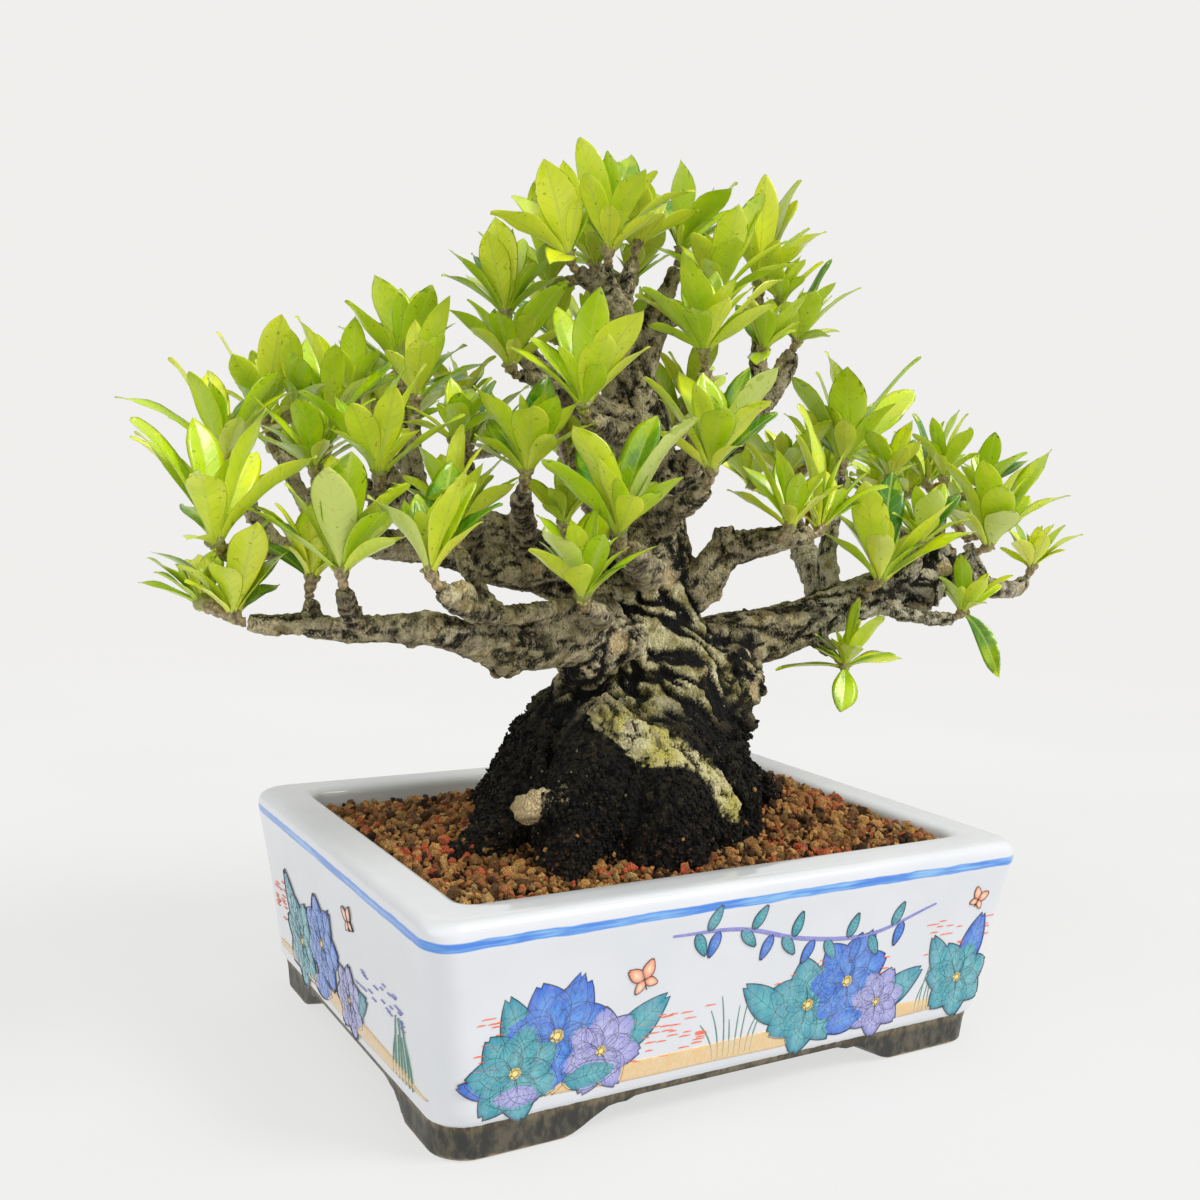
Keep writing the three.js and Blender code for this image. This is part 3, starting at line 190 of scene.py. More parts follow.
# Leafy sprays: name, the limb whose tip the twig carries on (None: it starts inside a limb), the
# twig's stations, and its rosettes as (place, number of leaves by rule, listed leaves); each
# listed leaf is (heading, rise, length, width).
SPRAYS = {
    "left_tip": ("left_high", [(-103, -11, 121, 2.2), (-109, -22, 121.5, 1.8)], [
        ((-112, -26, 124), 1, [
            (118, 41, 31, 8), (-66, 63, 30, 7.5), (45, 52, 24, 6.5), (-119, 6, 20, 4.5),
        ]),
    ]),
    "left_far": (None, [(-91, 0.5, 121, 1.9), (-98, 3, 130, 1.9), (-102, 5, 136, 1.7)], [
        ((-103, 5, 140), 1, [(-143, 58, 22, 6), (87, 56, 25, 7), (160, 33, 26, 5), (55, 47, 24, 6)]),
    ]),
    "left_crest": (None, [(-80, 3, 122, 2.1), (-86, 9, 136, 1.9), (-90, 14, 146, 1.7)], [
        ((-91, 17, 151), 2, [(-143, 45, 18, 6), (40, 31, 18, 5.5), (86, 33, 18, 5)]),
        ((-84, 14, 152), 1, [(47, 56, 23, 6.5), (-94, 22, 16, 4.5)]),
    ]),
    "left_low_end": ("left_low", [(-104.5, -22, 107.5, 1.9)], [
        ((-107, -21, 109), 0, [(-92, 54, 24, 8), (20, 48, 17, 4.5), (-157, 43, 16, 4.5)]),
        ((-112, -15, 111), 0, [(-148, 31, 14, 4.5), (80, 36, 16, 4.5), (170, 20, 13, 4)]),
    ]),
    "left_low_yellow": (None, [(-91, -25, 106, 1.9), (-91.5, -22, 112, 1.8)], [
        ((-91, -21, 116), 1, [(-154, 47, 22, 7), (64, 32, 20, 5.5)]),
    ]),
    "left_low_front": (None, [(-82, -27, 106, 2.2), (-86, -31, 110, 2.4), (-88, -33, 115, 2.2)], [
        ((-89, -34, 119), 1, [(-119, 59, 24, 9.5), (76, 55, 29, 7), (53, 37, 22, 6), (-79, 24, 20, 5)]),
    ]),
    "left_thin_end": ("left_thin", [(-70, -40, 115.5, 2)], [
        ((-72, -39, 119), 1, [
            (-161, 42, 24, 7.5), (86, 36, 24, 6.5), (50, 54, 28, 8), (5, 62, 28, 5), (-80, 34, 20, 4.5),
        ]),
    ]),
    "left_inner": (None, [(-84, 1, 122, 2), (-85, -3, 130, 1.9), (-85.5, -5, 135, 1.7)], [
        ((-86, -6, 139), 2, [(-121, 44, 21, 7), (-147, 17, 18, 5.5), (61, 27, 18, 5)]),
    ]),
    "left_top": (None, [(-58, 6, 138, 1.9), (-65, 9, 146, 1.8), (-71, 11, 150, 1.7)], [
        ((-77, 9, 150), 1, [(-170, 60, 25, 8.5), (-120, 32, 19, 5)]),
        ((-70, 16, 155), 2, [(98, 36, 20, 6), (150, 43, 16, 4.5), (-129, 47, 16, 4.5)]),
    ]),
    "left_mid": (None, [(-69, 3, 122, 2.3), (-72, -7, 130, 2), (-74, -13, 135, 1.8)], [
        ((-75, -16, 138.5), 1, [(-135, 45, 20, 7), (-62, 64, 26, 7), (46, 34, 20, 6)]),
    ]),
    "left_peak": ("left_rise", [(-59, 13, 152, 2), (-58, 16, 159, 1.7)], [
        ((-57, 18, 163), 1, [(-168, 72, 24, 9.5), (75, 30, 20, 6), (56, 56, 26, 7)]),
    ]),
    "left_rise": (None, [(-58, 5, 134, 1.9), (-60, 1, 145, 1.8), (-60, 1, 152, 1.7)], [
        ((-60, 1, 156), 0, [(-56, 68, 25, 7), (30, 47, 25, 7), (26, 20, 19, 6)]),
    ]),
    "left_small": (None, [(-42, 2, 118, 2.8), (-49, -4, 134, 2), (-53, -8, 143, 1.7)], [
        ((-55, -10, 147), 1, [(-111, 25, 18, 6), (-160, 12, 16, 5), (58, 20, 18, 5)]),
    ]),
    "left_pale": (None, [(-54, -34, 109.5, 1.7), (-58, -28, 117, 1.7), (-59, -24, 122, 1.6)], [
        ((-59, -22.5, 126), 0, [(-105, 66, 24, 5.5), (78, 40, 23, 6), (150, 30, 18, 5)]),
    ]),
    "centre_upper": ("crown_left", [(-34, 6, 174.5, 2)], [
        ((-35, 6, 178), 1, [
            (180, 41, 21, 6.5), (-150, 64, 23, 9), (99, 32, 22, 6), (50, 58, 24, 7), (-60, 30, 16, 5),
        ]),
    ]),
    "centre_left": (None, [(-20, 5.5, 161, 2.4), (-29, 2, 163, 1.9), (-34, 0, 163, 1.7)], [
        ((-37, -1, 165), 1, [(-133, 38, 19, 6.5), (160, 40, 20, 6), (-40, 34, 16, 5)]),
    ]),
    "centre_fork": (None, [(-32, 0, 116, 3.2), (-34, -5, 126, 3), (-40, -15, 133, 2.4),
        (-43, -22, 136, 1.9)], [
        ((-44, -25, 140), 1, [(-169, 52, 23, 8), (47, 61, 26, 7), (67, 35, 20, 7), (-90, 30, 16, 5)]),
    ]),
    "centre_front": (None, [(2, 2, 146, 4.6), (-9, -9, 149, 3.4), (-22, -20, 151, 2.6), (-31, -29, 152, 2)], [
        ((-34, -32, 155), 1, [
            (93, 60, 27, 7.5), (-101, 39, 22, 8.5), (-75, 52, 26, 9.5), (120, 33, 24, 6.5),
            (20, 45, 20, 6),
        ]),
    ]),
    "centre_low": (None, [(3, -2, 115, 7), (-7, -16, 118, 4.4), (-17, -29, 121, 3.4), (-27, -40, 124, 2.4)], [
        ((-30, -43, 127.5), 1, [
            (-176, 40, 25, 7), (89, 56, 27, 7.5), (-51, 60, 30, 10.5), (29, 35, 21, 6),
        ]),
    ]),
    "centre_lowest": (None, [(-16, -11, 105, 3.4), (-26, -29, 108, 2.4), (-36, -40, 111, 2)], [
        ((-39, -44, 114), 0, [(-149, 41, 23, 9.5), (54, 49, 25, 8), (20, 37, 20, 4.5)]),
    ]),
    "centre_sprout": (None, [(-25, 0, 115, 2.4), (-29, -14, 122, 1.8), (-32, -20, 125, 1.6)], [
        ((-33, -23, 128.5), 0, [(-140, 46, 12, 4.5), (44, 43, 13, 4.5)]),
    ]),
    "crown_left": ("trunk", [(-20, -6, 186.5, 2.2), (-23, -7, 188, 1.8)], [
        ((-26, -8, 191), 1, [
            (-151, 63, 23, 10), (-178, 23, 22, 8), (94, 42, 25, 7), (-128, -12, 21, 7), (140, 55, 22, 7),
        ]),
    ]),
    "crown_tip": (None, [(-11, -2, 182, 2.6), (-15.5, -8, 187, 2), (-17, -11, 189.5, 1.7)], [
        ((-17.5, -12, 193), 1, [(-180, 68, 26, 9), (36, 65, 28, 9), (-74, 59, 22, 6), (-120, 30, 16, 5)]),
    ]),
    "crown_mid": (None, [(-7, 0.5, 177, 3), (-4, 2, 188, 2.1), (-2, 2.5, 194, 1.7)], [
        ((-1, 2.5, 198), 1, [(-151, 42, 14, 4.5), (67, 57, 20, 6), (20, 48, 17, 5)]),
    ]),
    "crown_right": ("crown_right", [(10, 4, 189, 2.1), (12, 4, 194, 1.8)], [
        ((13, 4, 198), 1, [
            (-133, 76, 23, 8.5), (84, 55, 26, 7.5), (30, 66, 24, 7.5), (0, 50, 26, 6.5),
            (-80, 30, 14, 4.5),
        ]),
    ]),
    "crown_front": (None, [(5, 3, 177, 2.4), (11, -2, 182, 2), (15, -6, 184, 1.8)], [
        ((17, -9, 186), 1, [(-7, 70, 29, 8.5), (-35, 62, 28, 5), (-113, 38, 20, 8.5), (-60, 20, 18, 6)]),
    ]),
    "crown_low": (None, [(14, 0, 141, 3.2), (10, -12, 150, 2.6), (6, -20, 160, 2.1), (4, -23, 166, 1.8)], [
        ((2.5, -24.5, 170), 1, [
            (-178, 38, 22, 7.5), (98, 43, 21, 6.5), (-103, 52, 20, 7.5), (9, 44, 28, 8.5),
            (-50, 35, 20, 6),
        ]),
    ]),
    "front_fork": (None, [(5, 0, 128, 6), (1, -16, 132, 3.8), (-1, -28, 135, 2.9), (-2, -34, 138, 2.2)], [
        ((-2.5, -37, 142), 1, [
            (88, 56, 29, 8), (-62, 58, 28, 9), (175, 58, 27, 7), (-104, 20, 17, 5.5), (15, 40, 22, 6),
        ]),
    ]),
    "right_peak": (None, [(33, -5, 158, 2.6), (34.5, -3, 172, 2.2), (36, 0, 182, 1.8)], [
        ((37, 2, 192), 2, [(-15, 70, 30, 10), (56, 48, 23, 7), (180, 50, 20, 6)]),
        ((39, -5, 187), 0, [(-40, 45, 15, 4.5), (-100, 40, 15, 4.5)]),
    ]),
    "right_high": ("high_right", [(44.5, -4, 174.5, 2.2)], [
        ((46, -4, 177.5), 1, [
            (-14, 68, 24, 5.5), (22, 42, 22, 6), (10, 14, 18, 7), (-143, 37, 15, 5), (-92, 4, 14, 4.5),
        ]),
    ]),
    "right_low_high": (None, [(24, -3, 149, 2.8), (27, -8, 161, 2.1), (28.5, -10.5, 169, 1.8)], [
        ((29, -12, 173), 1, [(58, 41, 16, 5), (-153, 53, 15, 5), (-130, -14, 17, 6)]),
    ]),
    "mid_right_left": (None, [(25, -14, 122.5, 2.6), (27.5, -22.5, 125, 1.9)], [
        ((29.5, -26, 129), 0, [(150, 60, 25, 5.5), (-60, 40, 16, 8), (30, 45, 16, 6)]),
    ]),
    "mid_right_tip": ("mid_right", [(41, -20, 126.5, 2.2)], [
        ((44.5, -19.5, 128), 1, [(118, 78, 33, 10), (52, 52, 23, 7.5), (15, 32, 19, 6)]),
    ]),
    "right_tall": (None, [(64, -1, 106, 3.4), (66, 3, 119, 2.8), (71, 7, 132, 2.2), (75, 9.5, 142, 1.8)], [
        ((76, 10.5, 146), 1, [(-22, 56, 38, 7), (121, 72, 28, 8), (-127, 43, 18, 6.5), (95, 45, 18, 6.5)]),
    ]),
    "right_inner": (None, [(67, -4, 107, 3.2), (69, -11, 111, 2.4)], [
        ((70.5, -14.5, 114), 0, [(109, 48, 29, 9), (50, 67, 33, 9.5), (-80, 40, 17, 6)]),
    ]),
    "right_burl_left": (None, [(88, -6, 114, 3.2), (85, -13, 121, 2)], [
        ((83.5, -16, 124.5), 1, [(-155, 58, 18, 8.5), (14, 64, 19, 6.5), (-60, 30, 15, 5)]),
    ]),
    "right_crest_left": (None, [(88, -3, 114, 3.2), (90, 2, 128, 2.1), (90, 4.5, 138, 1.8)], [
        ((90, 5.5, 142), 2, [(-167, 52, 18, 6.5), (28, 51, 18, 6.5), (-80, 50, 15, 5)]),
    ]),
    "right_crest": (None, [(100, -2, 117, 3.4), (107, 3, 127, 2.6), (110, 5, 134, 2.1)], [
        ((111, 12, 141), 2, [(94, 70, 23, 7), (-5, 70, 24, 7)]),
        ((110, 4, 143), 1, [(-62, 75, 20, 7), (180, 54, 18, 6)]),
        ((119, -3, 139.5), 1, [(-115, 66, 19, 6), (40, 54, 18, 6), (-30, 45, 17, 5.5)]),
    ]),
    "right_burl_right": (None, [(103, -4, 116, 3.2), (112, -8, 121, 2.1)], [
        ((115.5, -10, 123.5), 0, [(-20, 60, 34, 8.5), (-117, 40, 18, 9.5), (60, 40, 19, 8.5)]),
    ]),
    "right_tip": ("right", [(140.5, -2, 113, 1.8)], [
        ((143, -2, 116.5), 0, [
            (-49, 38, 18, 5.5), (23, 34, 16, 5), (124, 66, 17, 5), (-5, 62, 16, 5), (-120, 45, 15, 5),
        ]),
    ]),
    "right_under": (None, [(56, -3, 99, 3.2), (58.5, -10, 94, 2.1)], [
        ((60, -14, 91), 0, [(-128, -48, 15, 7.5), (-3, 4, 20, 7), (150, 4, 19, 5), (-40, 18, 14, 4.5)]),
    ]),
    "right_strap": ("right_thin", [(97, -16, 103.5, 1.7)], [
        ((100.5, -16, 105), 0, [(-45, -35, 19, 5), (30, 25, 15, 4.5), (-100, 20, 12, 4)]),
    ]),
    "back_left_end": ("back_left", [(-68, 38, 138, 2)], [
        ((-72, 39, 141), 5, []),
        ((-84, 34, 144), 5, []),
        ((-66, 48, 145), 5, []),
    ]),
    "back_left_mid": (None, [(-49, 33, 131.5, 2.4), (-53, 38, 141, 2), (-54, 39.5, 147, 1.8)], [
        ((-54, 41, 151), 5, []),
        ((-44, 47, 151), 4, []),
        ((-58, 32, 157), 5, []),
    ]),
    "back_left_inner": (None, [(-31, 24, 126, 2.8), (-32, 33, 136, 2.2), (-31, 36, 142, 1.9)], [
        ((-30, 38, 146), 5, []),
        ((-19, 44, 146), 4, []),
        ((-37, 29, 156), 5, []),
    ]),
    "back_end": ("back", [(20.5, 48.5, 138, 2.2)], [
        ((21, 51, 141.5), 5, []),
        ((10, 56, 144), 5, []),
        ((31, 49, 146), 5, []),
    ]),
    "back_mid": (None, [(11, 20, 121, 3.6), (3, 31, 133, 2.6), (0, 36, 141, 2.1)], [
        ((-1, 38, 145.5), 5, []),
        ((-7, 30, 154), 4, []),
        ((9, 40, 154), 4, []),
    ]),
    "back_inner": (None, [(16, 32, 128, 2.8), (25, 31, 141, 2.2), (29, 29, 149, 1.9)], [
        ((30, 28, 153), 5, []),
        ((38, 34, 155), 5, []),
        ((27, 20, 161), 4, []),
    ]),
    "back_right_end": ("back_right", [(79, 38, 133, 2)], [
        ((81, 41, 136.5), 5, []),
        ((69, 45, 139), 5, []),
        ((91, 35, 142), 4, []),
    ]),
    "back_right_mid": (None, [(72, 21, 121, 2.4), (68, 23, 132, 2), (66, 24, 137, 1.8)], [
        ((65, 24, 141), 5, []),
        ((72, 17, 147), 4, []),
    ]),
    "back_right_burl": (None, [(98, -1, 118, 4), (99, 12, 126, 2.8), (101, 21, 133, 2.1)], [
        ((102, 25, 136.5), 5, []),
        ((113, 22, 138), 5, []),
        ((92, 31, 135), 4, []),
    ]),
    "back_right_tip": (None, [(126, -2, 110, 2), (128, 7, 117, 2), (127.5, 10, 123, 1.8)], [
        ((127, 14, 128), 5, []),
        ((134, 7, 127), 4, []),
    ]),
    "back_high": ("back_high", [(6, 33.5, 170.5, 2)], [
        ((5, 35, 173.5), 5, []),
        ((-7, 35, 177), 5, []),
        ((17, 32, 177), 5, []),
    ]),
    "back_crown": (None, [(-5, 1.5, 175, 3.4), (-5, 11, 183, 2.6), (-5, 15, 190, 1.9)], [
        ((-5, 17, 194), 5, []),
        ((-17, 19, 188), 5, []),
        ((8, 20, 192), 4, []),
    ]),
}


# Numbers

def between(limits, part):
    return limits[0] + (limits[1] - limits[0]) * part


def smoothstep(values, low, high):
    """0 below low, 1 above high, and 3t^2 - 2t^3 between them."""
    t = np.clip((np.asarray(values, float) - low) / (high - low), 0, 1)
    return t * t * (3 - 2 * t)


def seeded(seed):
    """Repeatable draws between 0 and 1: a 32-bit counter stepped by a fixed odd number and mixed."""
    state = seed & 0xFFFFFFFF

    def draw():
        nonlocal state
        state = (state + 0x6D2B79F5) & 0xFFFFFFFF
        t = ((state ^ (state >> 15)) * (state | 1)) & 0xFFFFFFFF
        t ^= (t + (((t ^ (t >> 7)) * (t | 61)) & 0xFFFFFFFF)) & 0xFFFFFFFF
        return ((t ^ (t >> 14)) & 0xFFFFFFFF) / 4294967296

    return draw


def heading_of(way):
    """Unit vector (x, y) at an angle in degrees."""
    return np.array([math.cos(math.radians(way)), math.sin(math.radians(way))])


def lattice(cell, seed):
    """One number between 0 and 1 for each whole-numbered cell (x, y, z), by mixing its 32-bit parts."""
    x, y, z = (cell[..., k].astype(np.int64).astype(np.uint32) for k in range(3))
    h = x * np.uint32(374761393) + y * np.uint32(668265263) + z * np.uint32(2246822519)
    h = h + np.uint32(seed * 3266489917 & 0xFFFFFFFF)
    h = (h ^ (h >> np.uint32(13))) * np.uint32(1274126177)
    h = (h ^ (h >> np.uint32(16))) * np.uint32(2654435761)
    return ((h ^ (h >> np.uint32(15))) & np.uint32(0xFFFFFF)).astype(float) / 0xFFFFFF


def value_noise(points, seed):
    """Smooth noise from 0 to 1: cell numbers at the 8 corners, blended by smoothed fractions."""
    base = np.floor(points)
    part = points - base
    part = part * part * (3 - 2 * part)
    total = np.zeros(len(points))
    for corner in np.ndindex(2, 2, 2):
        weight = np.prod(np.where(corner, part, 1 - part), axis=1)
        total += weight * lattice(base + np.array(corner), seed)
    return total


def layered_noise(points, size, seed, layers=4):
    """Sum of value noise at size, size/2, size/4 ..., each half as strong, scaled to -1..1."""
    total = np.zeros(len(points))
    norm = 0
    for k in range(layers):
        total += value_noise(points * 2 ** k / size, seed + k) / 2 ** k
        norm += 1 / 2 ** k
    return 2 * total / norm - 1


def cell_noise(points, size, seed):
    """(nearest, second nearest) distance, in cells, to one jittered point for each cell."""
    scaled = points / size
    base = np.floor(scaled)
    first = np.full(len(points), 9.0)
    second = first.copy()
    for shift in np.ndindex(3, 3, 3):
        cell = base + np.array(shift) - 1
        jitter = np.stack([lattice(cell, seed + k) for k in range(3)], axis=1)
        gap = np.linalg.norm(cell + jitter - scaled, axis=1)
        second = np.minimum(second, np.maximum(first, gap))
        first = np.minimum(first, gap)
    return first, second


# Meshes

def to_frame(points):
    return np.asarray(points, float) * MM + POT_MIDDLE


def new_object(name, points, faces, attributes=None, smooth=True):
    """Object from points in millimetres and arrays of faces (triangles and quads apart), with
    one number or one triple for each point in every attribute."""
    groups = [np.asarray(group, np.int32) for group in faces if len(group)]
    corners = np.concatenate([group.ravel() for group in groups])
    sizes = np.concatenate([np.full(len(group), group.shape[1]) for group in groups])
    starts = np.concatenate([[0], np.cumsum(sizes)[:-1]]).astype(np.int32)
    mesh = bpy.data.meshes.new(name)
    mesh.vertices.add(len(points))
    mesh.vertices.foreach_set("co", to_frame(points).ravel())
    mesh.loops.add(len(corners))
    mesh.loops.foreach_set("vertex_index", corners)
    mesh.polygons.add(len(starts))
    mesh.polygons.foreach_set("loop_start", starts)
    mesh.update(calc_edges=True)
    mesh.validate()
    if smooth:
        mesh.shade_smooth()
    else:
        mesh.shade_flat()
    set_attributes(mesh, attributes or {})
    piece = bpy.data.objects.new(name, mesh)
    bpy.context.scene.collection.objects.link(piece)
    return piece


def set_attributes(mesh, attributes):
    for key, values in attributes.items():
        values = np.asarray(values, float)
        if values.ndim == 1:
            mesh.attributes.new(key, "FLOAT", "POINT").data.foreach_set("value", values)
        else:
            mesh.attributes.new(key, "FLOAT_VECTOR", "POINT").data.foreach_set("vector", values.ravel())


def dress(piece, material, slot, *replaced):
    """Gives the piece its material and its body, and hides the nodes that it stands for; slot is not
    used.
    """
    piece.data.materials.clear()
    piece.data.materials.append(material)
    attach(piece, "root")
    if replaced:
        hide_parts(*replaced)
    return piece


def joined(parts):
    """One (points, [triangles, quads]) from many."""
    points = []
    triangles = []
    quads = []
    start = 0
    for part_points, (part_triangles, part_quads) in parts:
        points.append(part_points)
        triangles.append(np.asarray(part_triangles).reshape(-1, 3) + start)
        quads.append(np.asarray(part_quads).reshape(-1, 4) + start)
        start += len(part_points)
    return np.concatenate(points), [np.concatenate(triangles), np.concatenate(quads)]


def ring_quads(rings, count):
    """Quads between neighbouring rings of count points, each point's number and the next one's."""
    row = np.arange(count)
    after = (row + 1) % count
    start = (np.arange(rings - 1) * count)[:, None]
    quads = np.stack([start + row, start + after, start + count + after, start + count + row], axis=-1)
    return quads, row, after


def ring_faces(rings, count):
    """Skin over a stack of rings of count points, closed by a fan of triangles at each end,
    whose middle points come after the rings."""
    quads, row, after = ring_quads(rings, count)
    first = rings * count
    top = (rings - 1) * count
    bottom_fan = np.stack([np.full(count, first), after, row], axis=-1)
    top_fan = np.stack([np.full(count, first + 1), top + row, top + after], axis=-1)
    return [np.concatenate([bottom_fan, top_fan]), quads.reshape(-1, 4)]


def lofted(rings):
    """Closed skin over rings given as an array (ring, point, xyz)."""
    ends = np.stack([rings[0].mean(axis=0), rings[-1].mean(axis=0)])
    points = np.concatenate([rings.reshape(-1, 3), ends])
    return points, ring_faces(rings.shape[0], rings.shape[1])


def around(count):
    """Angles of count points evenly round a circle."""
    return np.arange(count) / count * 2 * np.pi


def swept(row, sides):
    """Closed tube along stations (x, y, z, radius): round rings square to the path, in a frame
    that turns as little as it can."""
    row = np.asarray(row, float)
    along = np.gradient(row[:, :3], axis=0)
    along /= np.linalg.norm(along, axis=1)[:, None]
    across = np.array([0.0, 1, 0]) if abs(along[0, 0]) > 0.8 else np.array([1.0, 0, 0])
    angle = around(sides)
    rings = []
    for place, direction in zip(row, along):
        across = across - direction * (across @ direction)
        across /= np.linalg.norm(across)
        third = np.cross(direction, across)
        circle = np.outer(np.cos(angle), across) + np.outer(np.sin(angle), third)
        rings.append(place[:3] + place[3] * circle)
    return lofted(np.array(rings))


def smoothed_row(row, step):
    """The same stations joined by cubic curves through them, with a point about every step."""
    row = np.asarray(row, float)
    padded = np.concatenate([2 * row[:1] - row[1:2], row, 2 * row[-1:] - row[-2:-1]])
    out = []
    for k in range(len(row) - 1):
        p0, p1, p2, p3 = padded[k:k + 4]
        count = max(1, round(np.linalg.norm(p2[:3] - p1[:3]) / step))
        t = (np.arange(count) / count)[:, None]
        out.append(0.5 * (2 * p1 + (p2 - p0) * t + (2 * p0 - 5 * p1 + 4 * p2 - p3) * t ** 2
                          + (3 * p1 - p0 - 3 * p2 + p3) * t ** 3))
    return np.concatenate(out + [row[-1:]])


# Corners of one face of an icosahedron have a cosine of 0.447 between them, others less than 0.
NEIGHBOUR_COSINE = 0.4


def icosahedron():
    """The 12 points of an icosahedron of radius 1, and its 20 triangles facing out."""
    golden = (1 + math.sqrt(5)) / 2
    points = np.array([
        (-1, golden, 0), (1, golden, 0), (-1, -golden, 0), (1, -golden, 0),
        (0, -1, golden), (0, 1, golden), (0, -1, -golden), (0, 1, -golden),
        (golden, 0, -1), (golden, 0, 1), (-golden, 0, -1), (-golden, 0, 1),
    ]) / math.hypot(1, golden)
    faces = []
    for a in range(12):
        for b in range(a + 1, 12):
            for c in range(b + 1, 12):
                sides = [points[a] @ points[b], points[b] @ points[c], points[c] @ points[a]]
                if min(sides) > NEIGHBOUR_COSINE:
                    outward = np.cross(points[b] - points[a], points[c] - points[a]) @ points[a] > 0
                    faces.append((a, b, c) if outward else (a, c, b))
    return points, np.array(faces)


def divided_ball():
    """A ball of 42 points and 80 triangles: each side of the icosahedron cut in four."""
    points, faces = icosahedron()
    points = list(points)
    known = {}

    def middle(a, b):
        key = (min(a, b), max(a, b))
        if key not in known:
            spot = points[a] + points[b]
            known[key] = len(points)
            points.append(spot / np.linalg.norm(spot))
        return known[key]

    out = []
    for a, b, c in faces:
        ab, bc, ca = middle(a, b), middle(b, c), middle(c, a)
        out += [(a, ab, ca), (b, bc, ab), (c, ca, bc), (ab, bc, ca)]
    return np.array(points), np.array(out)


BALL_POINTS, BALL_FACES = divided_ball()
GRAIN_POINTS, GRAIN_FACES = icosahedron()
CRUMB_POINTS = np.array([(1, 0, 0), (-1, 0, 0), (0, 1, 0), (0, -1, 0), (0, 0, 1), (0, 0, -1)])
CRUMB_FACES = np.array([
    (0, 2, 4), (2, 1, 4), (1, 3, 4), (3, 0, 4), (2, 0, 5), (1, 2, 5), (3, 1, 5), (0, 3, 5),
])
NO_QUADS = np.zeros((0, 4), int)


def ball(x, y, z, radius):
    return np.array([x, y, z]) + radius * BALL_POINTS, [BALL_FACES, NO_QUADS]


# Where every leaf goes: the same rule as in the solids

def twig_row(spray):
    limb, twig, _ = spray
    return twig if limb is None else [LIMBS[limb][-1]] + twig


def shoots_of(spray):
    """Green shoots from just above the twig's tip to each rosette, as rows of stations."""
    before, tip = (np.array(station[:3], float) for station in twig_row(spray)[-2:])
    start = (tip - before) / np.linalg.norm(tip - before)
    foot = tip + GAP * start
    fork = foot + FORK_HEIGHT * start
    rows = []
    for k, (place, _, _) in enumerate(spray[2]):
        out = np.array(place) - fork
        end = np.array(place) + out / np.linalg.norm(out) * HEAD_RADIUS / 2
        row = [(*fork, SHOOT_RADIUS), (*end, HEAD_RADIUS)]
        rows.append([(*foot, SHOOT_RADIUS)] + row if k == 0 else row)
    return rows


def capsules(rows):
    """Ends, end radii and row number of the straight pieces of many rows."""
    first = np.array([station for row in rows for station in row[:-1]], float)
    second = np.array([station for row in rows for station in row[1:]], float)
    number = np.concatenate([np.full(len(row) - 1, k) for k, row in enumerate(rows)])
    return first, second, number


def capsule_distances(points, first, second):
    """Distance of every point to the tapered skin of every straight piece, and the part of the
    piece's length at which its foot lies."""
    axis = second[:, :3] - first[:, :3]
    offset = points[:, None, :] - first[None, :, :3]
    part = np.clip((offset * axis).sum(axis=2) / (axis * axis).sum(axis=1), 0, 1)
    gap = np.linalg.norm(offset - part[..., None] * axis, axis=2)
    return gap - (first[:, 3] + (second[:, 3] - first[:, 3]) * part), part


def leaf_axes(leaf):
    """Unit vectors along the leaf, to its right and out of its upper face, after its roll."""
    h, r, turn = (math.radians(leaf[key]) for key in ("heading", "rise", "roll"))
    along = np.array([math.cos(r) * math.cos(h), math.cos(r) * math.sin(h), math.sin(r)])
    face = np.array([-math.sin(r) * math.cos(h), -math.sin(r) * math.sin(h), math.cos(r)])
    right = np.array([math.sin(h), -math.cos(h), 0.0])
    up = math.cos(turn) * face + math.sin(turn) * right
    return along, math.cos(turn) * right - math.sin(turn) * face, up


SAMPLE_S = np.repeat(np.arange(1, BLADE_SAMPLES + 1) / BLADE_SAMPLES, 5)
SAMPLE_T = np.tile([-1, -0.5, 0, 0.5, 1], BLADE_SAMPLES)
KNOT_S = [0] + [s for s, _ in BLADE_STATIONS] + [1]


def blade_samples(leaf):
    """Points of the plain blade: its widths run straight between the stations, its spine is a
    parabola and its halves rise towards the edges."""
    along, right, up = leaf_axes(leaf)
    knots = [PETIOLE_HALF] + [w * leaf["width"] / 2 for _, w in BLADE_STATIONS] + [0]
    half = np.interp(SAMPLE_S, KNOT_S, knots)
    lift = leaf["length"] * leaf["arch"] * (SAMPLE_S - SAMPLE_S ** 2) + BLADE_FOLD * half * np.abs(SAMPLE_T)
    return (np.array(leaf["at"]) + np.outer(SAMPLE_S * leaf["length"], along)
            + np.outer(lift, up) + np.outer(half * SAMPLE_T, right))


def is_clear(leaf, samples, wood, own_wood, placed_samples, same_rosette):
    """No sample is nearer to wood, or to a sample of a placed leaf, than the clearances allow."""
    at_head = np.linalg.norm(samples - leaf["at"], axis=1)
    gaps, _ = capsule_distances(samples, wood[0], wood[1])
    skipped = own_wood[None, :] | ((at_head < PETIOLE_REACH)[:, None] & (wood[2] < 0)[None, :])
    if (gaps + FAR * skipped < WOOD_CLEARANCE * leaf["room"]).any():
        return False
    squares = ((samples ** 2).sum(axis=1)[:, None] + (placed_samples ** 2).sum(axis=1)[None, :]
               - 2 * samples @ placed_samples.T)
    squares = squares + FAR * ((at_head < ROSETTE_REACH)[:, None] & same_rosette[None, :])
    return squares.min(initial=FAR) >= (BLADE_CLEARANCE * leaf["room"]) ** 2


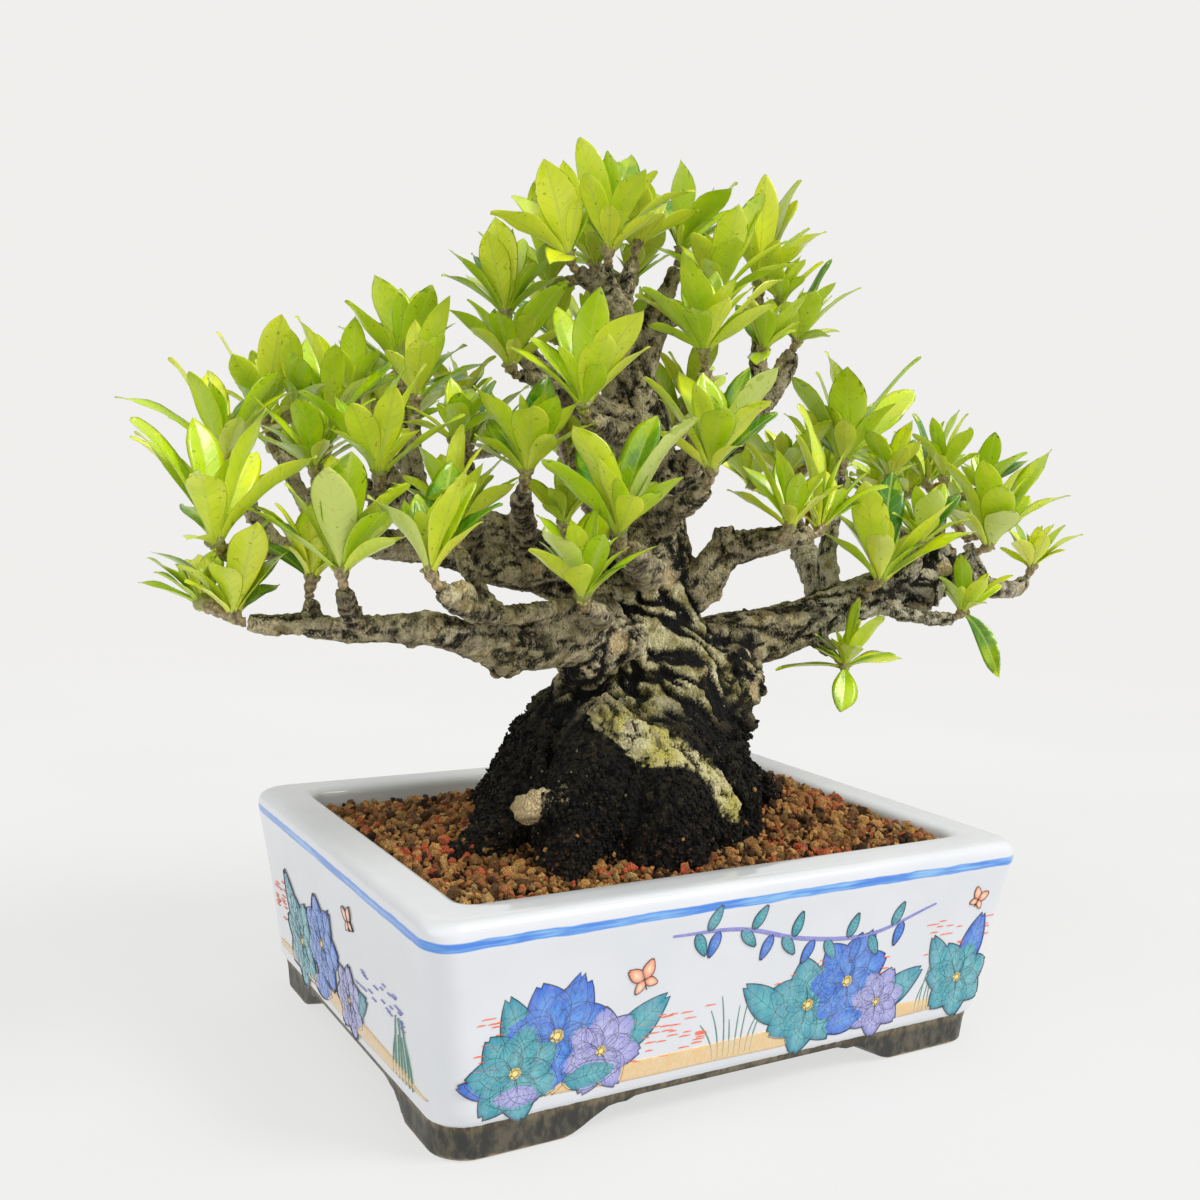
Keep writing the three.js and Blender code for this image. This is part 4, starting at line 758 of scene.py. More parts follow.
def wanted_leaves():
    """Every leaf in order: the listed ones of all sprays, those by rule, which follow the golden
    angle round their rosette, then smaller ones that fill each rosette and need less room."""
    wanted = []

    def want(name, place, heading, rise, length, width, room=1.0):
        draw = seeded(TWIST_SEED + len(wanted))
        wanted.append({
            "spray": name, "at": place, "heading": heading, "rise": rise, "length": length,
            "width": width, "roll": between(ROLL, draw()), "arch": between(ARCH, draw()),
            "number": len(wanted), "room": room,
        })

    for name, (_, _, heads) in SPRAYS.items():
        for place, _, listed in heads:
            for leaf in listed:
                want(name, place, *leaf)
    for i, (name, (_, _, heads)) in enumerate(SPRAYS.items()):
        for j, (place, fill, _) in enumerate(heads):
            draw = seeded(HEADS_PER_SPRAY * i + j)
            first = 360 * draw()
            for k in range(fill):
                rise = between(RULE_RISE, draw())
                length = between(RULE_LENGTH, draw())
                want(name, place, first + GOLDEN_ANGLE * k, rise, length, RULE_SLENDERNESS * length)
    for i, (name, (_, _, heads)) in enumerate(SPRAYS.items()):
        for j, (place, _, listed) in enumerate(heads):
            draw = seeded(EXTRA_SEED + HEADS_PER_SPRAY * i + j)
            longest = max([leaf[2] for leaf in listed] + [RULE_LENGTH[0]])
            first = 360 * draw()
            for k in range(EXTRA_LEAVES):
                length = longest * between(EXTRA_LENGTH, draw())
                want(name, place, first + GOLDEN_ANGLE * k, between(EXTRA_RISE, draw()), length,
                     between(EXTRA_SLENDERNESS, draw()) * length, EXTRA_ROOM)
    return wanted


def place_leaves():
    """Each wanted leaf, turned by the first of the tries that hangs clear of wood and leaves."""
    base_rows = ROOTS + STUBS + list(LIMBS.values())
    base_rows += [[(x, y, z, r), (x, y, z + 0.1, r)] for x, y, z, r in BURLS]
    base_rows += [twig_row(spray) for spray in SPRAYS.values()]
    shoots = [(name, row) for name, spray in SPRAYS.items() for row in shoots_of(spray)]
    first, second, row_number = capsules(base_rows + [row for _, row in shoots])
    owner = row_number - len(base_rows)
    names = np.array([name for name, _ in shoots])
    placed = []
    for leaf in wanted_leaves():
        place = np.array(leaf["at"], float)
        near = [other for other in placed if np.linalg.norm(place - other["at"])
                < other["length"] + leaf["length"] + BLADE_CLEARANCE]
        samples = np.concatenate([np.zeros((0, 3))] + [other["samples"] for other in near])
        same = np.repeat([other["at"] is leaf["at"] for other in near], len(SAMPLE_S)).astype(bool)
        reach = capsule_distances(place[None, :], first, second)[0][0] < leaf["length"] + 4
        wood = (first[reach], second[reach], owner[reach])
        own = (wood[2] >= 0) & (names[np.maximum(wood[2], 0)] == leaf["spray"])
        listed = leaf["room"] == 1
        scales = (1, LAST_LENGTH) if listed else (1,)
        tries = TRIES if listed else TRIES[:EXTRA_TRIES]
        for scale, (turn, lift) in [(scale, move) for scale in scales for move in tries]:
            moved = dict(leaf, heading=leaf["heading"] + turn, rise=leaf["rise"] + lift,
                         length=leaf["length"] * scale, width=leaf["width"] * scale)
            moved["samples"] = blade_samples(moved)
            if is_clear(moved, moved["samples"], wood, own, samples, same):
                placed.append(moved)
                break
    return placed


# Leaves

BLADE_ROWS = np.array([0, 0.06, 0.14, 0.24, 0.35, 0.46, 0.57, 0.68, 0.78, 0.87, 0.94, 0.985])
BLADE_TOP = np.array([-1, -0.66, -0.34, -0.09, 0, 0.09, 0.34, 0.66, 1])
BLADE_UNDER = np.array([0.9, 0, -0.9])
BLADE_PEAK = 0.431
BLADE_THICK = 0.34
ROOT_SINK = 1.2
PETIOLE_THICK = 1.0
MIDRIB_DEPTH = 0.2
WAVE_HEIGHT = 0.07
TIP_CURL = 0.1
CURL_RUN = (0.4, 1.3)
GROOVE_HALF = 0.45
RIB_HALF = 0.5
RIB_HEIGHT = 0.3


def outline_part(s):
    """Half width of a real blade as a part of its largest: s^1.05 (1 - s^2.6) over its peak,
    widest beyond the middle, with a long narrow base and a short pointed tip."""
    s = np.clip(s, 0, 1)
    return s ** 1.05 * (1 - s ** 2.6) / BLADE_PEAK


def blade_mesh(leaf, looks):
    """Closed blade: rings of 9 points above and 3 below for each row along it. Its spine is the
    plain blade's parabola with a curled tip; across, a V fold, a groove over the midrib and
    wavy edges. looks gives its tone, its age, its wave's phase, its sideways bend and its curl."""
    along, right, up = leaf_axes(leaf)
    length, width = leaf["length"], leaf["width"]
    s = np.concatenate([[-ROOT_SINK / length], BLADE_ROWS])[:, None]
    t = np.concatenate([BLADE_TOP, BLADE_UNDER])[None, :]
    below = np.concatenate([np.zeros(len(BLADE_TOP)), np.ones(len(BLADE_UNDER))])[None, :]
    clipped = np.clip(s, 0, 1)
    petiole = 1 - smoothstep(clipped, 0.02, 0.2)
    half = np.maximum(outline_part(clipped) * width / 2, PETIOLE_HALF * 0.8 * petiole + 0.05)
    spine = length * leaf["arch"] * (s - s * s) - length * looks["curl"] * smoothstep(clipped, *CURL_RUN) ** 2
    fold = BLADE_FOLD * (1 - petiole) * half * np.abs(t) ** 1.2
    wave = WAVE_HEIGHT * width * t * t * clipped * np.sin(2 * np.pi * (looks["waves"] * clipped
                                                                     + looks["phase"] + 0.25 * np.sign(t)))
    groove = (MIDRIB_DEPTH * (1 - below) * (1 - petiole) * (1 - clipped) ** 0.5
              * np.exp(-(t * half / GROOVE_HALF) ** 2))
    thick = BLADE_THICK * (1 - np.abs(t) ** 3) * (1 - clipped ** 4) + PETIOLE_THICK * petiole * (1 - t * t)
    rib = RIB_HEIGHT * np.exp(-(t * half / RIB_HALF) ** 2) * (1 - clipped) * (1 - petiole)
    height = spine + fold + wave - groove - below * (thick + rib)
    side = half * t + looks["bend"] * length * clipped ** 2
    points = (np.array(leaf["at"]) + (s * length + 0 * t)[..., None] * along
              + height[..., None] * up + side[..., None] * right)
    tip_point = (np.array(leaf["at"]) + length * along + looks["bend"] * length * right
                 - length * looks["curl"] * smoothstep(1.0, *CURL_RUN) ** 2 * up)
    rows, count = points.shape[:2]
    points = np.concatenate([points.reshape(-1, 3), [points[0].mean(axis=0), tip_point]])
    flat = np.stack([s + 0 * t, t * half, half + 0 * t], axis=-1).reshape(-1, 3)
    flat = np.concatenate([flat, [[0, 0, 0.4], [1, 0, 0.05]]])
    top = np.repeat(1 - below, rows, axis=0).ravel()
    look = np.stack([np.full(len(points), looks["tone"]), np.full(len(points), looks["age"]),
                     np.concatenate([top, [0.5, 1]])], axis=-1)
    triangles, quads = ring_faces(rows, count)
    return points, [triangles[:, ::-1], quads[:, ::-1]], flat, look


def shoot_mesh(row, tone):
    """Shoot: a swept tube with swollen joints, marked as stem by a half width of 0; its first
    number runs from 0 at the wood to 1 at the leaves."""
    path = smoothed_row(row, 0.8)
    path[:, 3] *= 0.92 + 0.16 * np.sin(np.arange(len(path)) * 2.2)
    points, faces = swept(path, 10)
    ends = np.linalg.norm(points[:, None] - path[None, [0, -1], :3], axis=2)
    flat = np.column_stack([ends[:, 0] / ends.sum(axis=1), np.zeros((len(points), 2))])
    look = np.tile([tone, 0.3, 0.5], (len(points), 1))
    return points, faces, flat, look


# Leaves that look unlike the rest, by the number of the listed leaf in its spray.
PALE_LEAVES = {
    ("left_low_front", 0), ("left_thin_end", 0), ("centre_low", 2), ("centre_lowest", 0),
    ("front_fork", 1), ("right_peak", 0), ("right_inner", 0), ("right_burl_left", 0),
    ("right_burl_right", 1),
}
DRY_LEAVES = [
    ("mid_right_tip", (40, -19, 127), 80, 62, 11, 4), ("right_burl_right", (103, -5, 134), 200, 60, 10, 4),
]
STRAP_LEAF = ("right_strap", 0)
STRAP_ROLL = 75
STRAP_CURL = -0.5
# Leaves given a deep green tone: partly their own colour, partly painted shade for leaves deep in the canopy.
DEEP_AND_SHADED_LEAVES = {("left_thin_end", 2), ("right_inner", 1), ("centre_fork", 1), ("centre_low", 1)}
YOUNG_SPRAYS = {"left_low_yellow", "right_peak", "crown_mid", "right_tip"}
BUD_LENGTH = (6, 11)
BUD_RISE = (58, 82)
BUDS = 3
LOOK_SEED = 31000
BUD_SEED = LOOK_SEED + 500
BUD_NUMBER = 5000
BUD_TONE = 0.85
# Deep green tone, partly painted shade.
DEEP_AND_SHADED_TONE = 0.05
YOUNG_TONE = 0.95
YOUNG_DRAW = 0.4


def looks_of(leaf, listed):
    """Tone 0 (deep green, partly painted shade) to 1 (yellow), age, waves, bend and curl, from the leaf's own
    draws.
    """
    draw = seeded(LOOK_SEED + leaf["number"])
    # Tones run down to deep green, which partly paints the shade of leaves deep in the canopy.
    tone = between((0.05, 0.9), draw())
    key = (leaf["spray"], listed)
    if key in DEEP_AND_SHADED_LEAVES:
        tone = DEEP_AND_SHADED_TONE
    elif leaf["spray"] in YOUNG_SPRAYS and draw() > YOUNG_DRAW:
        tone = YOUNG_TONE
    return {
        "tone": tone, "age": 1.0 if key in PALE_LEAVES else 0.4 * draw(), "phase": draw(),
        "waves": between((1.2, 2.4), draw()), "bend": between((-0.05, 0.05), draw()),
        "curl": between((0.0, TIP_CURL), draw()),
    }


def buds_of(name, spray, number):
    """Small upright leaves at the middle of each rosette, round the golden angle."""
    out = []
    for j, (place, _, _) in enumerate(spray[2]):
        draw = seeded(BUD_SEED + 10 * number + j)
        first = 360 * draw()
        for k in range(BUDS):
            length = between(BUD_LENGTH, draw())
            out.append({
                "spray": name, "at": place, "heading": first + GOLDEN_ANGLE * k,
                "rise": between(BUD_RISE, draw()), "length": length, "width": 0.3 * length,
                "roll": between(ROLL, draw()), "arch": 0.2, "number": BUD_NUMBER + 40 * number + 4 * j + k,
            })
    return out


def dry_mesh(place, heading, rise, length, width):
    """A dead brown leaf: age 2, rolled up and bent."""
    leaf = {"at": place, "heading": heading, "rise": rise, "length": length, "width": width,
            "roll": 40, "arch": 0.5}
    return blade_mesh(leaf, {"tone": 0.3, "age": 2.0, "phase": 0.3, "waves": 2.5, "bend": 0.2, "curl": 0.3})


def build_sprays(material):
    """One piece for each leafy spray, in place of its plain node."""
    placed = place_leaves()
    order = {}
    for leaf in wanted_leaves():
        order.setdefault(leaf["spray"], []).append(leaf["number"])
    for number, (name, spray) in enumerate(SPRAYS.items()):
        parts = []
        for leaf in [leaf for leaf in placed if leaf["spray"] == name] + buds_of(name, spray, number):
            listed = order[name].index(leaf["number"]) if leaf["number"] in order[name] else -1
            looks = looks_of(leaf, listed)
            if listed < 0:
                looks["tone"] = BUD_TONE
            if (name, listed) == STRAP_LEAF:
                leaf = dict(leaf, roll=STRAP_ROLL, width=1.3 * leaf["width"])
                looks.update(tone=0.15, age=0.0, curl=STRAP_CURL, bend=0.5)
            parts.append(blade_mesh(leaf, looks))
        parts += [dry_mesh(*leaf[1:]) for leaf in DRY_LEAVES if leaf[0] == name]
        parts += [shoot_mesh(row, 0.5) for row in shoots_of(spray)]
        points, faces = joined([(part[0], part[1]) for part in parts])
        piece = new_object("leaves_" + name, points, faces, {
            "blade": np.concatenate([part[2] for part in parts]),
            "leaf": np.concatenate([part[3] for part in parts]),
        })
        dress(piece, material, "leaf", "spray_" + name)


# Wood

WOOD_VOXEL = 0.94
ROW_STEP = 2.5
TRUNK_SIDES = 28
LIMB_SIDES = 16
WARTS = 34
LEAST_BURL = 5
KNOB_STEP = 3.2
KNOB_SIZE = (0.18, 0.42)
KNOB_LARGEST = 2.6
KNOB_DRAW = 0.35
POINTS_AT_ONCE = 4000
GRAINS_AT_ONCE = 2000
KNOB_SEED = 77
RING_SPACING = 2.0
LICHEN_ROOT = 4
BRIDGE = 5.0
BRIDGE_LEAST = 1.5
STUB_ROOT = 2
STUB_SLIM = 0.9
BRIDGE_TOP = 92
CRUMB_SEED = 404
CRUMBS = 9000
CRUMB_RADIUS = (0.35, 1.0)
FOLD_RUN = np.array([0.76, -0.1, -0.64])

# Noises of the bark's relief as (size, seed, layers), and cells as (size, seed).
COARSE = (13, 80, 2)
FINE = (1.7, 70, 3)
FOLDS = (4.6, 40, 3)
FURROWS = (7.5, 50, 3)
SPLITS = (2.9, 140, 2)
PATCHES = (8, 90, 2)
WARP_SIZE = 14
WARP_SEED = 300
NODULES = (5.0, 60)
CRUMBLE = (2.0, 65)


def knobs_on(row, draw):
    """Leaf scars and dormant buds: small balls half sunk in a limb's skin, at the golden angle."""
    out = []
    path = smoothed_row(row, KNOB_STEP)
    angle = 360 * draw()
    for place, ahead in zip(path[:-1], path[1:]):
        direction = (ahead - place)[:3]
        direction = direction / np.linalg.norm(direction)
        across = np.cross(direction, [0.3, 0.2, 1])
        across = across / np.linalg.norm(across)
        angle += GOLDEN_ANGLE + 40 * draw()
        c, s = heading_of(angle)
        out_way = c * across + s * np.cross(direction, across)
        size = between(KNOB_SIZE, draw()) * place[3] + 0.45
        centre = place[:3] + out_way * (place[3] - 0.35 * size)
        if draw() > KNOB_DRAW:
            out.append(ball(*centre, min(size, KNOB_LARGEST)))
    return out


def warts_on(centre, radius, count, draw):
    """A burl's crust: balls on its skin, spread by golden angle over the sphere."""
    out = []
    for k in range(count):
        z = 1 - 2 * (k + 0.5) / count
        turn = math.radians(GOLDEN_ANGLE) * k
        way = np.array([math.cos(turn) * math.sqrt(1 - z * z), math.sin(turn) * math.sqrt(1 - z * z), z])
        out.append(ball(*(np.array(centre) + way * radius * between((0.8, 1.0), draw())),
                        radius * between((0.12, 0.26), draw())))
    return out


def wood_rows():
    """All swept rows of the tree, with its twigs carried on from their limbs."""
    rows = {}
    for name, row in LIMBS.items():
        tail = next((twig for limb, twig, _ in SPRAYS.values() if limb == name), [])
        rows[name] = row + tail
    for k, row in enumerate(ROOTS):
        slim = STUB_SLIM if k == STUB_ROOT else 1
        rows["root_%d" % k] = [(x, y, z, slim * r) for x, y, z, r in row]
    for k, row in enumerate(STUBS):
        rows["stub_%d" % k] = row
    for name, (limb, twig, _) in SPRAYS.items():
        if limb is None:
            rows["twig_" + name] = twig
    return rows


def raw_wood(rows):
    draw = seeded(KNOB_SEED)
    parts = []
    for name, row in rows.items():
        parts.append(swept(smoothed_row(row, ROW_STEP), TRUNK_SIDES if name == "trunk" else LIMB_SIDES))
        if not name.startswith("root") and name != "trunk":
            parts += knobs_on(row, draw)
    for x, y, z, radius in BURLS:
        parts.append(ball(x, y, z, radius))
        if radius > LEAST_BURL:
            parts += warts_on((x, y, z), radius, WARTS, draw)
    return joined(parts)


def evaluated_mesh(piece):
    """The piece's mesh with its modifiers applied."""
    return bpy.data.meshes.new_from_object(piece.evaluated_get(bpy.context.evaluated_depsgraph_get()))


def remeshed(points, faces, voxel):
    """One closed skin round overlapping solids, on a grid of voxels: its points (millimetres),
    faces and edges."""
    rough = new_object("rough_wood", points, faces)
    modifier = rough.modifiers.new("fuse", "REMESH")
    modifier.mode = "VOXEL"
    modifier.voxel_size = voxel * MM
    mesh = evaluated_mesh(rough)
    bpy.data.objects.remove(rough)
    out = read_mesh(mesh)
    bpy.data.meshes.remove(mesh)
    return out


def read_mesh(mesh):
    points = np.empty(3 * len(mesh.vertices))
    mesh.vertices.foreach_get("co", points)
    points = (points.reshape(-1, 3) - POT_MIDDLE) / MM
    sizes = np.empty(len(mesh.polygons), np.int32)
    mesh.polygons.foreach_get("loop_total", sizes)
    corners = np.empty(len(mesh.loops), np.int32)
    mesh.loops.foreach_get("vertex_index", corners)
    starts = np.concatenate([[0], np.cumsum(sizes)[:-1]])
    quads = corners[starts[sizes == 4][:, None] + np.arange(4)]
    triangles = corners[starts[sizes == 3][:, None] + np.arange(3)]
    edges = np.empty(2 * len(mesh.edges), np.int32)
    mesh.edges.foreach_get("vertices", edges)
    return points, [triangles, quads], edges.reshape(-1, 2)


def relaxed(points, edges, rounds, weight):
    """Each point moves towards the mean of its neighbours by its weight, round after round."""
    count = np.bincount(edges.ravel(), minlength=len(points))
    for _ in range(rounds):
        total = np.stack([
            np.bincount(edges[:, 0], points[edges[:, 1], k], len(points))
            + np.bincount(edges[:, 1], points[edges[:, 0], k], len(points)) for k in range(3)], axis=1)
        points = points + weight[:, None] * (total / count[:, None] - points)
    return points


def normals_of(points, faces):
    """Point normals: the sum of the cross products of the faces' diagonals, made unit long."""
    total = np.zeros_like(points)
    for group in faces:
        if len(group) == 0:
            continue
        last = group.shape[1] - 1
        normal = np.cross(points[group[:, 2]] - points[group[:, 0]],
                          points[group[:, last]] - points[group[:, 1]])
        for column in group.T:
            for k in range(3):
                total[:, k] += np.bincount(column, normal[:, k], len(points))
    return total / np.maximum(np.linalg.norm(total, axis=1), 1e-9)[:, None]


def nearest_wood(points, rows):
    """For each point: the number of the row it belongs to, how far along it, its radius there and
    the way from the row's axis to the point."""
    first, second, number = capsules(list(rows.values()))
    axes = second[:, :3] - first[:, :3]
    lengths = np.linalg.norm(axes, axis=1)
    before = np.concatenate([[0], np.cumsum(lengths)[:-1]])
    owner = np.empty(len(points), int)
    travel = np.empty(len(points))
    radius = np.empty(len(points))
    arm = np.empty((len(points), 3))
    for start in range(0, len(points), POINTS_AT_ONCE):
        part = slice(start, start + POINTS_AT_ONCE)
        gaps, foot = capsule_distances(points[part], first, second)
        best = gaps.argmin(axis=1)
        along = foot[np.arange(len(best)), best]
        owner[part] = number[best]
        travel[part] = before[best] + along * lengths[best]
        radius[part] = first[best, 3] + (second[best, 3] - first[best, 3]) * along
        arm[part] = points[part] - first[best, :3] - along[:, None] * axes[best]
    return owner, travel, radius, arm


def bridged(points, faces):
    """Fills the clefts between the roots: each low point moves out along its normal by
    k log(sum of exp(-d / k)) less a little, d being its distance to each root and to the trunk."""
    rows = [row for k, row in enumerate(ROOTS) if k not in (LICHEN_ROOT, STUB_ROOT)] + [LIMBS["trunk"][:8]]
    first, second, number = capsules(rows)
    low = points[:, 2] < BRIDGE_TOP
    gaps = capsule_distances(points[low], first, second)[0]
    nearest = np.stack([gaps[:, number == k].min(axis=1) for k in range(len(rows))], axis=1)
    soft = BRIDGE * np.log(np.exp(-nearest / BRIDGE).sum(axis=1)) - BRIDGE_LEAST
    fade = 1 - smoothstep(points[low, 2], BRIDGE_TOP - 16, BRIDGE_TOP)
    points[low] += (np.clip(soft, 0, 5) * fade)[:, None] * normals_of(points, faces)[low]
    return points


# Where branches were cut: (x, y, z), the way the cut faces and its radius.
SCARS = [
    ((-15, -20, 100), (-0.3, -1, 0.1), 2.8), ((4, -11, 115), (-0.1, -1, 0.2), 2.8),
    ((-31, -7.5, 117), (-0.3, -1, 0.1), 2.0), ((-66, -39, 117), (-0.4, -0.6, 0.9), 2.6),
    ((-46, -33, 66), (-0.7, -0.9, 0.2), 3.0), ((96, -13.5, 117), (-0.1, -1, 0.1), 2.6),
    ((102, -12.5, 124), (0.1, -1, 0.5), 2.0), ((20, -11, 129), (0, -0.4, 1), 2.2),
    ((29, -16, 86), (0.2, -1, 0.1), 2.4),
]

SCAR_DEPTH = 6


def scar_mask(points, normals):
    """1 on the cut faces, with a raised lip of bark round each: (mask, lift)."""
    mask = np.zeros(len(points))
    lift = np.zeros(len(points))
    for place, way, radius in SCARS:
        way = np.array(way) / np.linalg.norm(way)
        offset = points - np.array(place)
        depth = offset @ way
        distance = np.linalg.norm(offset - np.outer(depth, way), axis=1)
        facing = smoothstep(normals @ way, 0.1, 0.5) * (np.abs(depth) < SCAR_DEPTH)
        inside = (1 - smoothstep(distance, radius * 0.85, radius * 1.05)) * facing
        lip = np.exp(-((distance - radius * 1.15) / (0.22 * radius)) ** 2) * facing
        mask = np.maximum(mask, inside)
        lift += 0.5 * lip - 0.35 * inside
    return mask, lift


def build_wood(material):
    """The whole tree: swept rows, knobs and burls fused on a voxel grid, clefts relaxed where the
    wood is thick and bridged between the roots, then bark relief along the normals. Returns the
    skin's points and normals."""
    rows = wood_rows()
    points, faces, edges = remeshed(*raw_wood(rows), WOOD_VOXEL)
    owner, travel, girth, arm = nearest_wood(points, rows)
    thick = smoothstep(girth, 3, 12)
    points = bridged(relaxed(points, edges, 6, 0.1 + 0.5 * thick), faces)
    normals = normals_of(points, faces)
    names = list(rows)
    root_like = np.array([name.startswith(("root", "stub")) for name in names])[owner]
    on_ridge = ((owner == names.index("root_%d" % LICHEN_ROOT)) * smoothstep(points[:, 2], 55, 60)
                * (1 - smoothstep(points[:, 2], 82, 87)))
    base = (1 - smoothstep(points[:, 2], 60, 84)) * (1 - on_ridge)
    trunk = np.maximum(smoothstep(girth, 8, 16), base * root_like)
    burl = np.max([1 - smoothstep(np.linalg.norm(points - [x, y, z], axis=1) / radius, 1.05, 1.5)
                   for x, y, z, radius in BURLS], axis=0)
    limb = (1 - trunk) * (1 - burl)
    neck = trunk * (1 - base) * (1 - 0.6 * burl)

    coarse = layered_noise(points, *COARSE)
    fine = layered_noise(points, *FINE)
    warp = np.stack([layered_noise(points, WARP_SIZE, WARP_SEED + k, 2) for k in range(3)], axis=1)
    turned = points + 4.5 * warp
    drawn = turned - 0.68 * np.outer(turned @ FOLD_RUN, FOLD_RUN)
    fold = smoothstep(np.abs(layered_noise(drawn, *FOLDS)), 0.0, 0.34)
    upright = turned * np.array([1, 1, 0.4])
    furrow = smoothstep(np.abs(layered_noise(upright, *FURROWS)), 0.0, 0.35)
    along_limb = arm + 0.5 * warp + np.outer(0.3 * travel, [0.6, 0.5, 0.62])
    split = smoothstep(np.abs(layered_noise(along_limb, *SPLITS)), 0.0, 0.24)
    near, next_near = cell_noise(turned, *NODULES)
    small, _ = cell_noise(points + 0.8 * warp, *CRUMBLE)
    cleft = smoothstep(next_near - near, 0.0, 0.25)

    swell = np.minimum(girth / 9, 1.3)
    lift = coarse * 1.3 * swell
    lift += neck * (2.1 * fold - 1.3) + base * (1.4 * furrow - 1.0 + 1.5 * (0.5 - small))
    lift += burl * (2.0 * (0.5 - near) + 0.8 * (0.5 - small) - 0.7 * (1 - cleft))
    lift += limb * (0.8 * (split - 0.7) * np.minimum(girth / 4, 1) + 0.5 * (0.45 - small))
    lift += fine * (0.15 + 0.3 * trunk + 0.4 * neck)
    patchy = smoothstep(layered_noise(points, *PATCHES), -0.35, 0.3)
    ring_wave = 0.5 + 0.5 * np.sin(2 * np.pi * (travel / RING_SPACING + 0.9 * coarse + 0.2 * fine))
    rings = (smoothstep(ring_wave, 0.55, 0.95) * (1 - smoothstep(girth, 2.8, 7))
             * (0.3 + 0.7 * patchy) * (1 - root_like))
    lift += rings * 0.3
    lift += on_ridge * (0.2 + 1.5 * (0.5 - near) - 0.9 * (1 - cleft))
    scar, scar_lift = scar_mask(points, normals)
    on_stub = (owner == names.index("root_%d" % STUB_ROOT)) * smoothstep(-points[:, 0], 40, 43)
    lift = lift * (1 - scar) + scar_lift
    points = points + lift[:, None] * normals
    relief = (neck * fold + base * (0.55 * furrow + 0.5 * (0.8 - small)) + burl * cleft * (1.15 - near)
              + limb * (0.45 * split + 0.6 * (0.95 - small)) + on_ridge * (cleft * 0.8 + 0.3 * (1 - near)))
    relief = np.clip(relief / np.maximum(neck + base + burl + limb + on_ridge, 0.5) + 0.3 * fine, 0, 1)
    piece = new_object("bark", points, faces, {
        "relief": relief, "girth": girth, "rings": rings, "ridge": on_ridge,
        "scar": np.maximum(scar, 0.8 * on_stub),
    })
    dress(piece, material, "bark", "trunk_and_limbs")
    build_crumbs(material, points, normals, base * (1 - on_stub))
    return points, normals


def build_crumbs(material, points, normals, share):
    """Moss and bark crumbs on the foot of the trunk: lumps of 8 faces at drawn points of its skin."""
    rng = np.random.default_rng(CRUMB_SEED)
    wanted = share * (points[:, 2] > soil_height(points[:, 0], points[:, 1]) - 1)
    chosen = rng.choice(len(points), CRUMBS, replace=False, p=wanted / wanted.sum())
    radius = rng.uniform(*CRUMB_RADIUS, CRUMBS)
    centres = points[chosen] + (rng.uniform(-0.3, 0.5, CRUMBS) * radius)[:, None] * normals[chosen]
    relief = np.repeat(0.9 * rng.random(CRUMBS), len(CRUMB_POINTS))
    piece = lumps("bark_crumbs", centres, radius, rng, CRUMB_POINTS, CRUMB_FACES, {
        "relief": relief, "girth": np.full(len(relief), 20.0)})
    dress(piece, material, "bark")


# Pot

LONG_STEPS = 60
SHORT_STEPS = 46
CORNER_STEPS = 9
CORNERS = [(1, 1), (-1, 1), (-1, -1), (1, -1)]

# The gaps between the feet: half their reach on the long and the short sides, and their rise.
GAP_OUTER = (46.0, 36.0)
GAP_INNER = (30.0, 26.0)
GAP_RISE = 6.2
HUMP_HEIGHT = 0.9


def rounded_ring(inset, corner):
    """Points (x, y) of a rounded rectangle seen from above, counter-clockwise from where its right
    side meets the back corner: corners as arcs, straight sides cut evenly."""
    half_x, half_y = POT_HALF_X - inset, POT_HALF_Y - inset
    points = []
    for quarter in range(4):
        sx, sy = CORNERS[quarter]
        angles = np.radians(90 * quarter + 90 * np.arange(CORNER_STEPS + 1) / CORNER_STEPS)
        arc = np.stack([sx * (half_x - corner) + corner * np.cos(angles),
                        sy * (half_y - corner) + corner * np.sin(angles)], axis=1)
        points.append(arc)
        steps = LONG_STEPS if quarter % 2 == 0 else SHORT_STEPS
        part = (np.arange(1, steps) / steps)[:, None]
        following = CORNERS[(quarter + 1) % 4]
        turn = np.radians(90 * (quarter + 1))
        start = np.array([following[0] * (half_x - corner) + corner * np.cos(turn),
                          following[1] * (half_y - corner) + corner * np.sin(turn)])
        points.append(arc[-1] + (start - arc[-1]) * part)
    return np.concatenate(points)


def ring_at(inset, z, corner=POT_CORNER):
    flat = rounded_ring(inset, corner)
    return np.column_stack([flat, np.broadcast_to(z, len(flat))])


def foot_edge(flat):
    """Height of the lower edge: 0 under the corner feet; each gap rises in a scroll, a straight
    slope with a small hump before the flat middle."""
    on_long = np.abs(flat[:, 1]) / POT_HALF_Y > np.abs(flat[:, 0]) / POT_HALF_X
    away = np.where(on_long, np.abs(flat[:, 0]), np.abs(flat[:, 1]))
    outer = np.where(on_long, *GAP_OUTER)
    inner = np.where(on_long, *GAP_INNER)
    slope = smoothstep(outer - away, 0, outer - inner)
    hump = HUMP_HEIGHT * np.exp(-((away - inner - 1.0) / 1.8) ** 2)
    return np.clip(GAP_RISE * slope ** 0.8 - hump * (slope > 0.6), 0, GAP_RISE)


def wall_inset(part):
    """How far the wall leans in at a part of the way down: a straight line with a shallow hollow."""
    return (WALL_LEAN - 0.3) * part + WALL_HOLLOW * np.sin(math.pi * part)


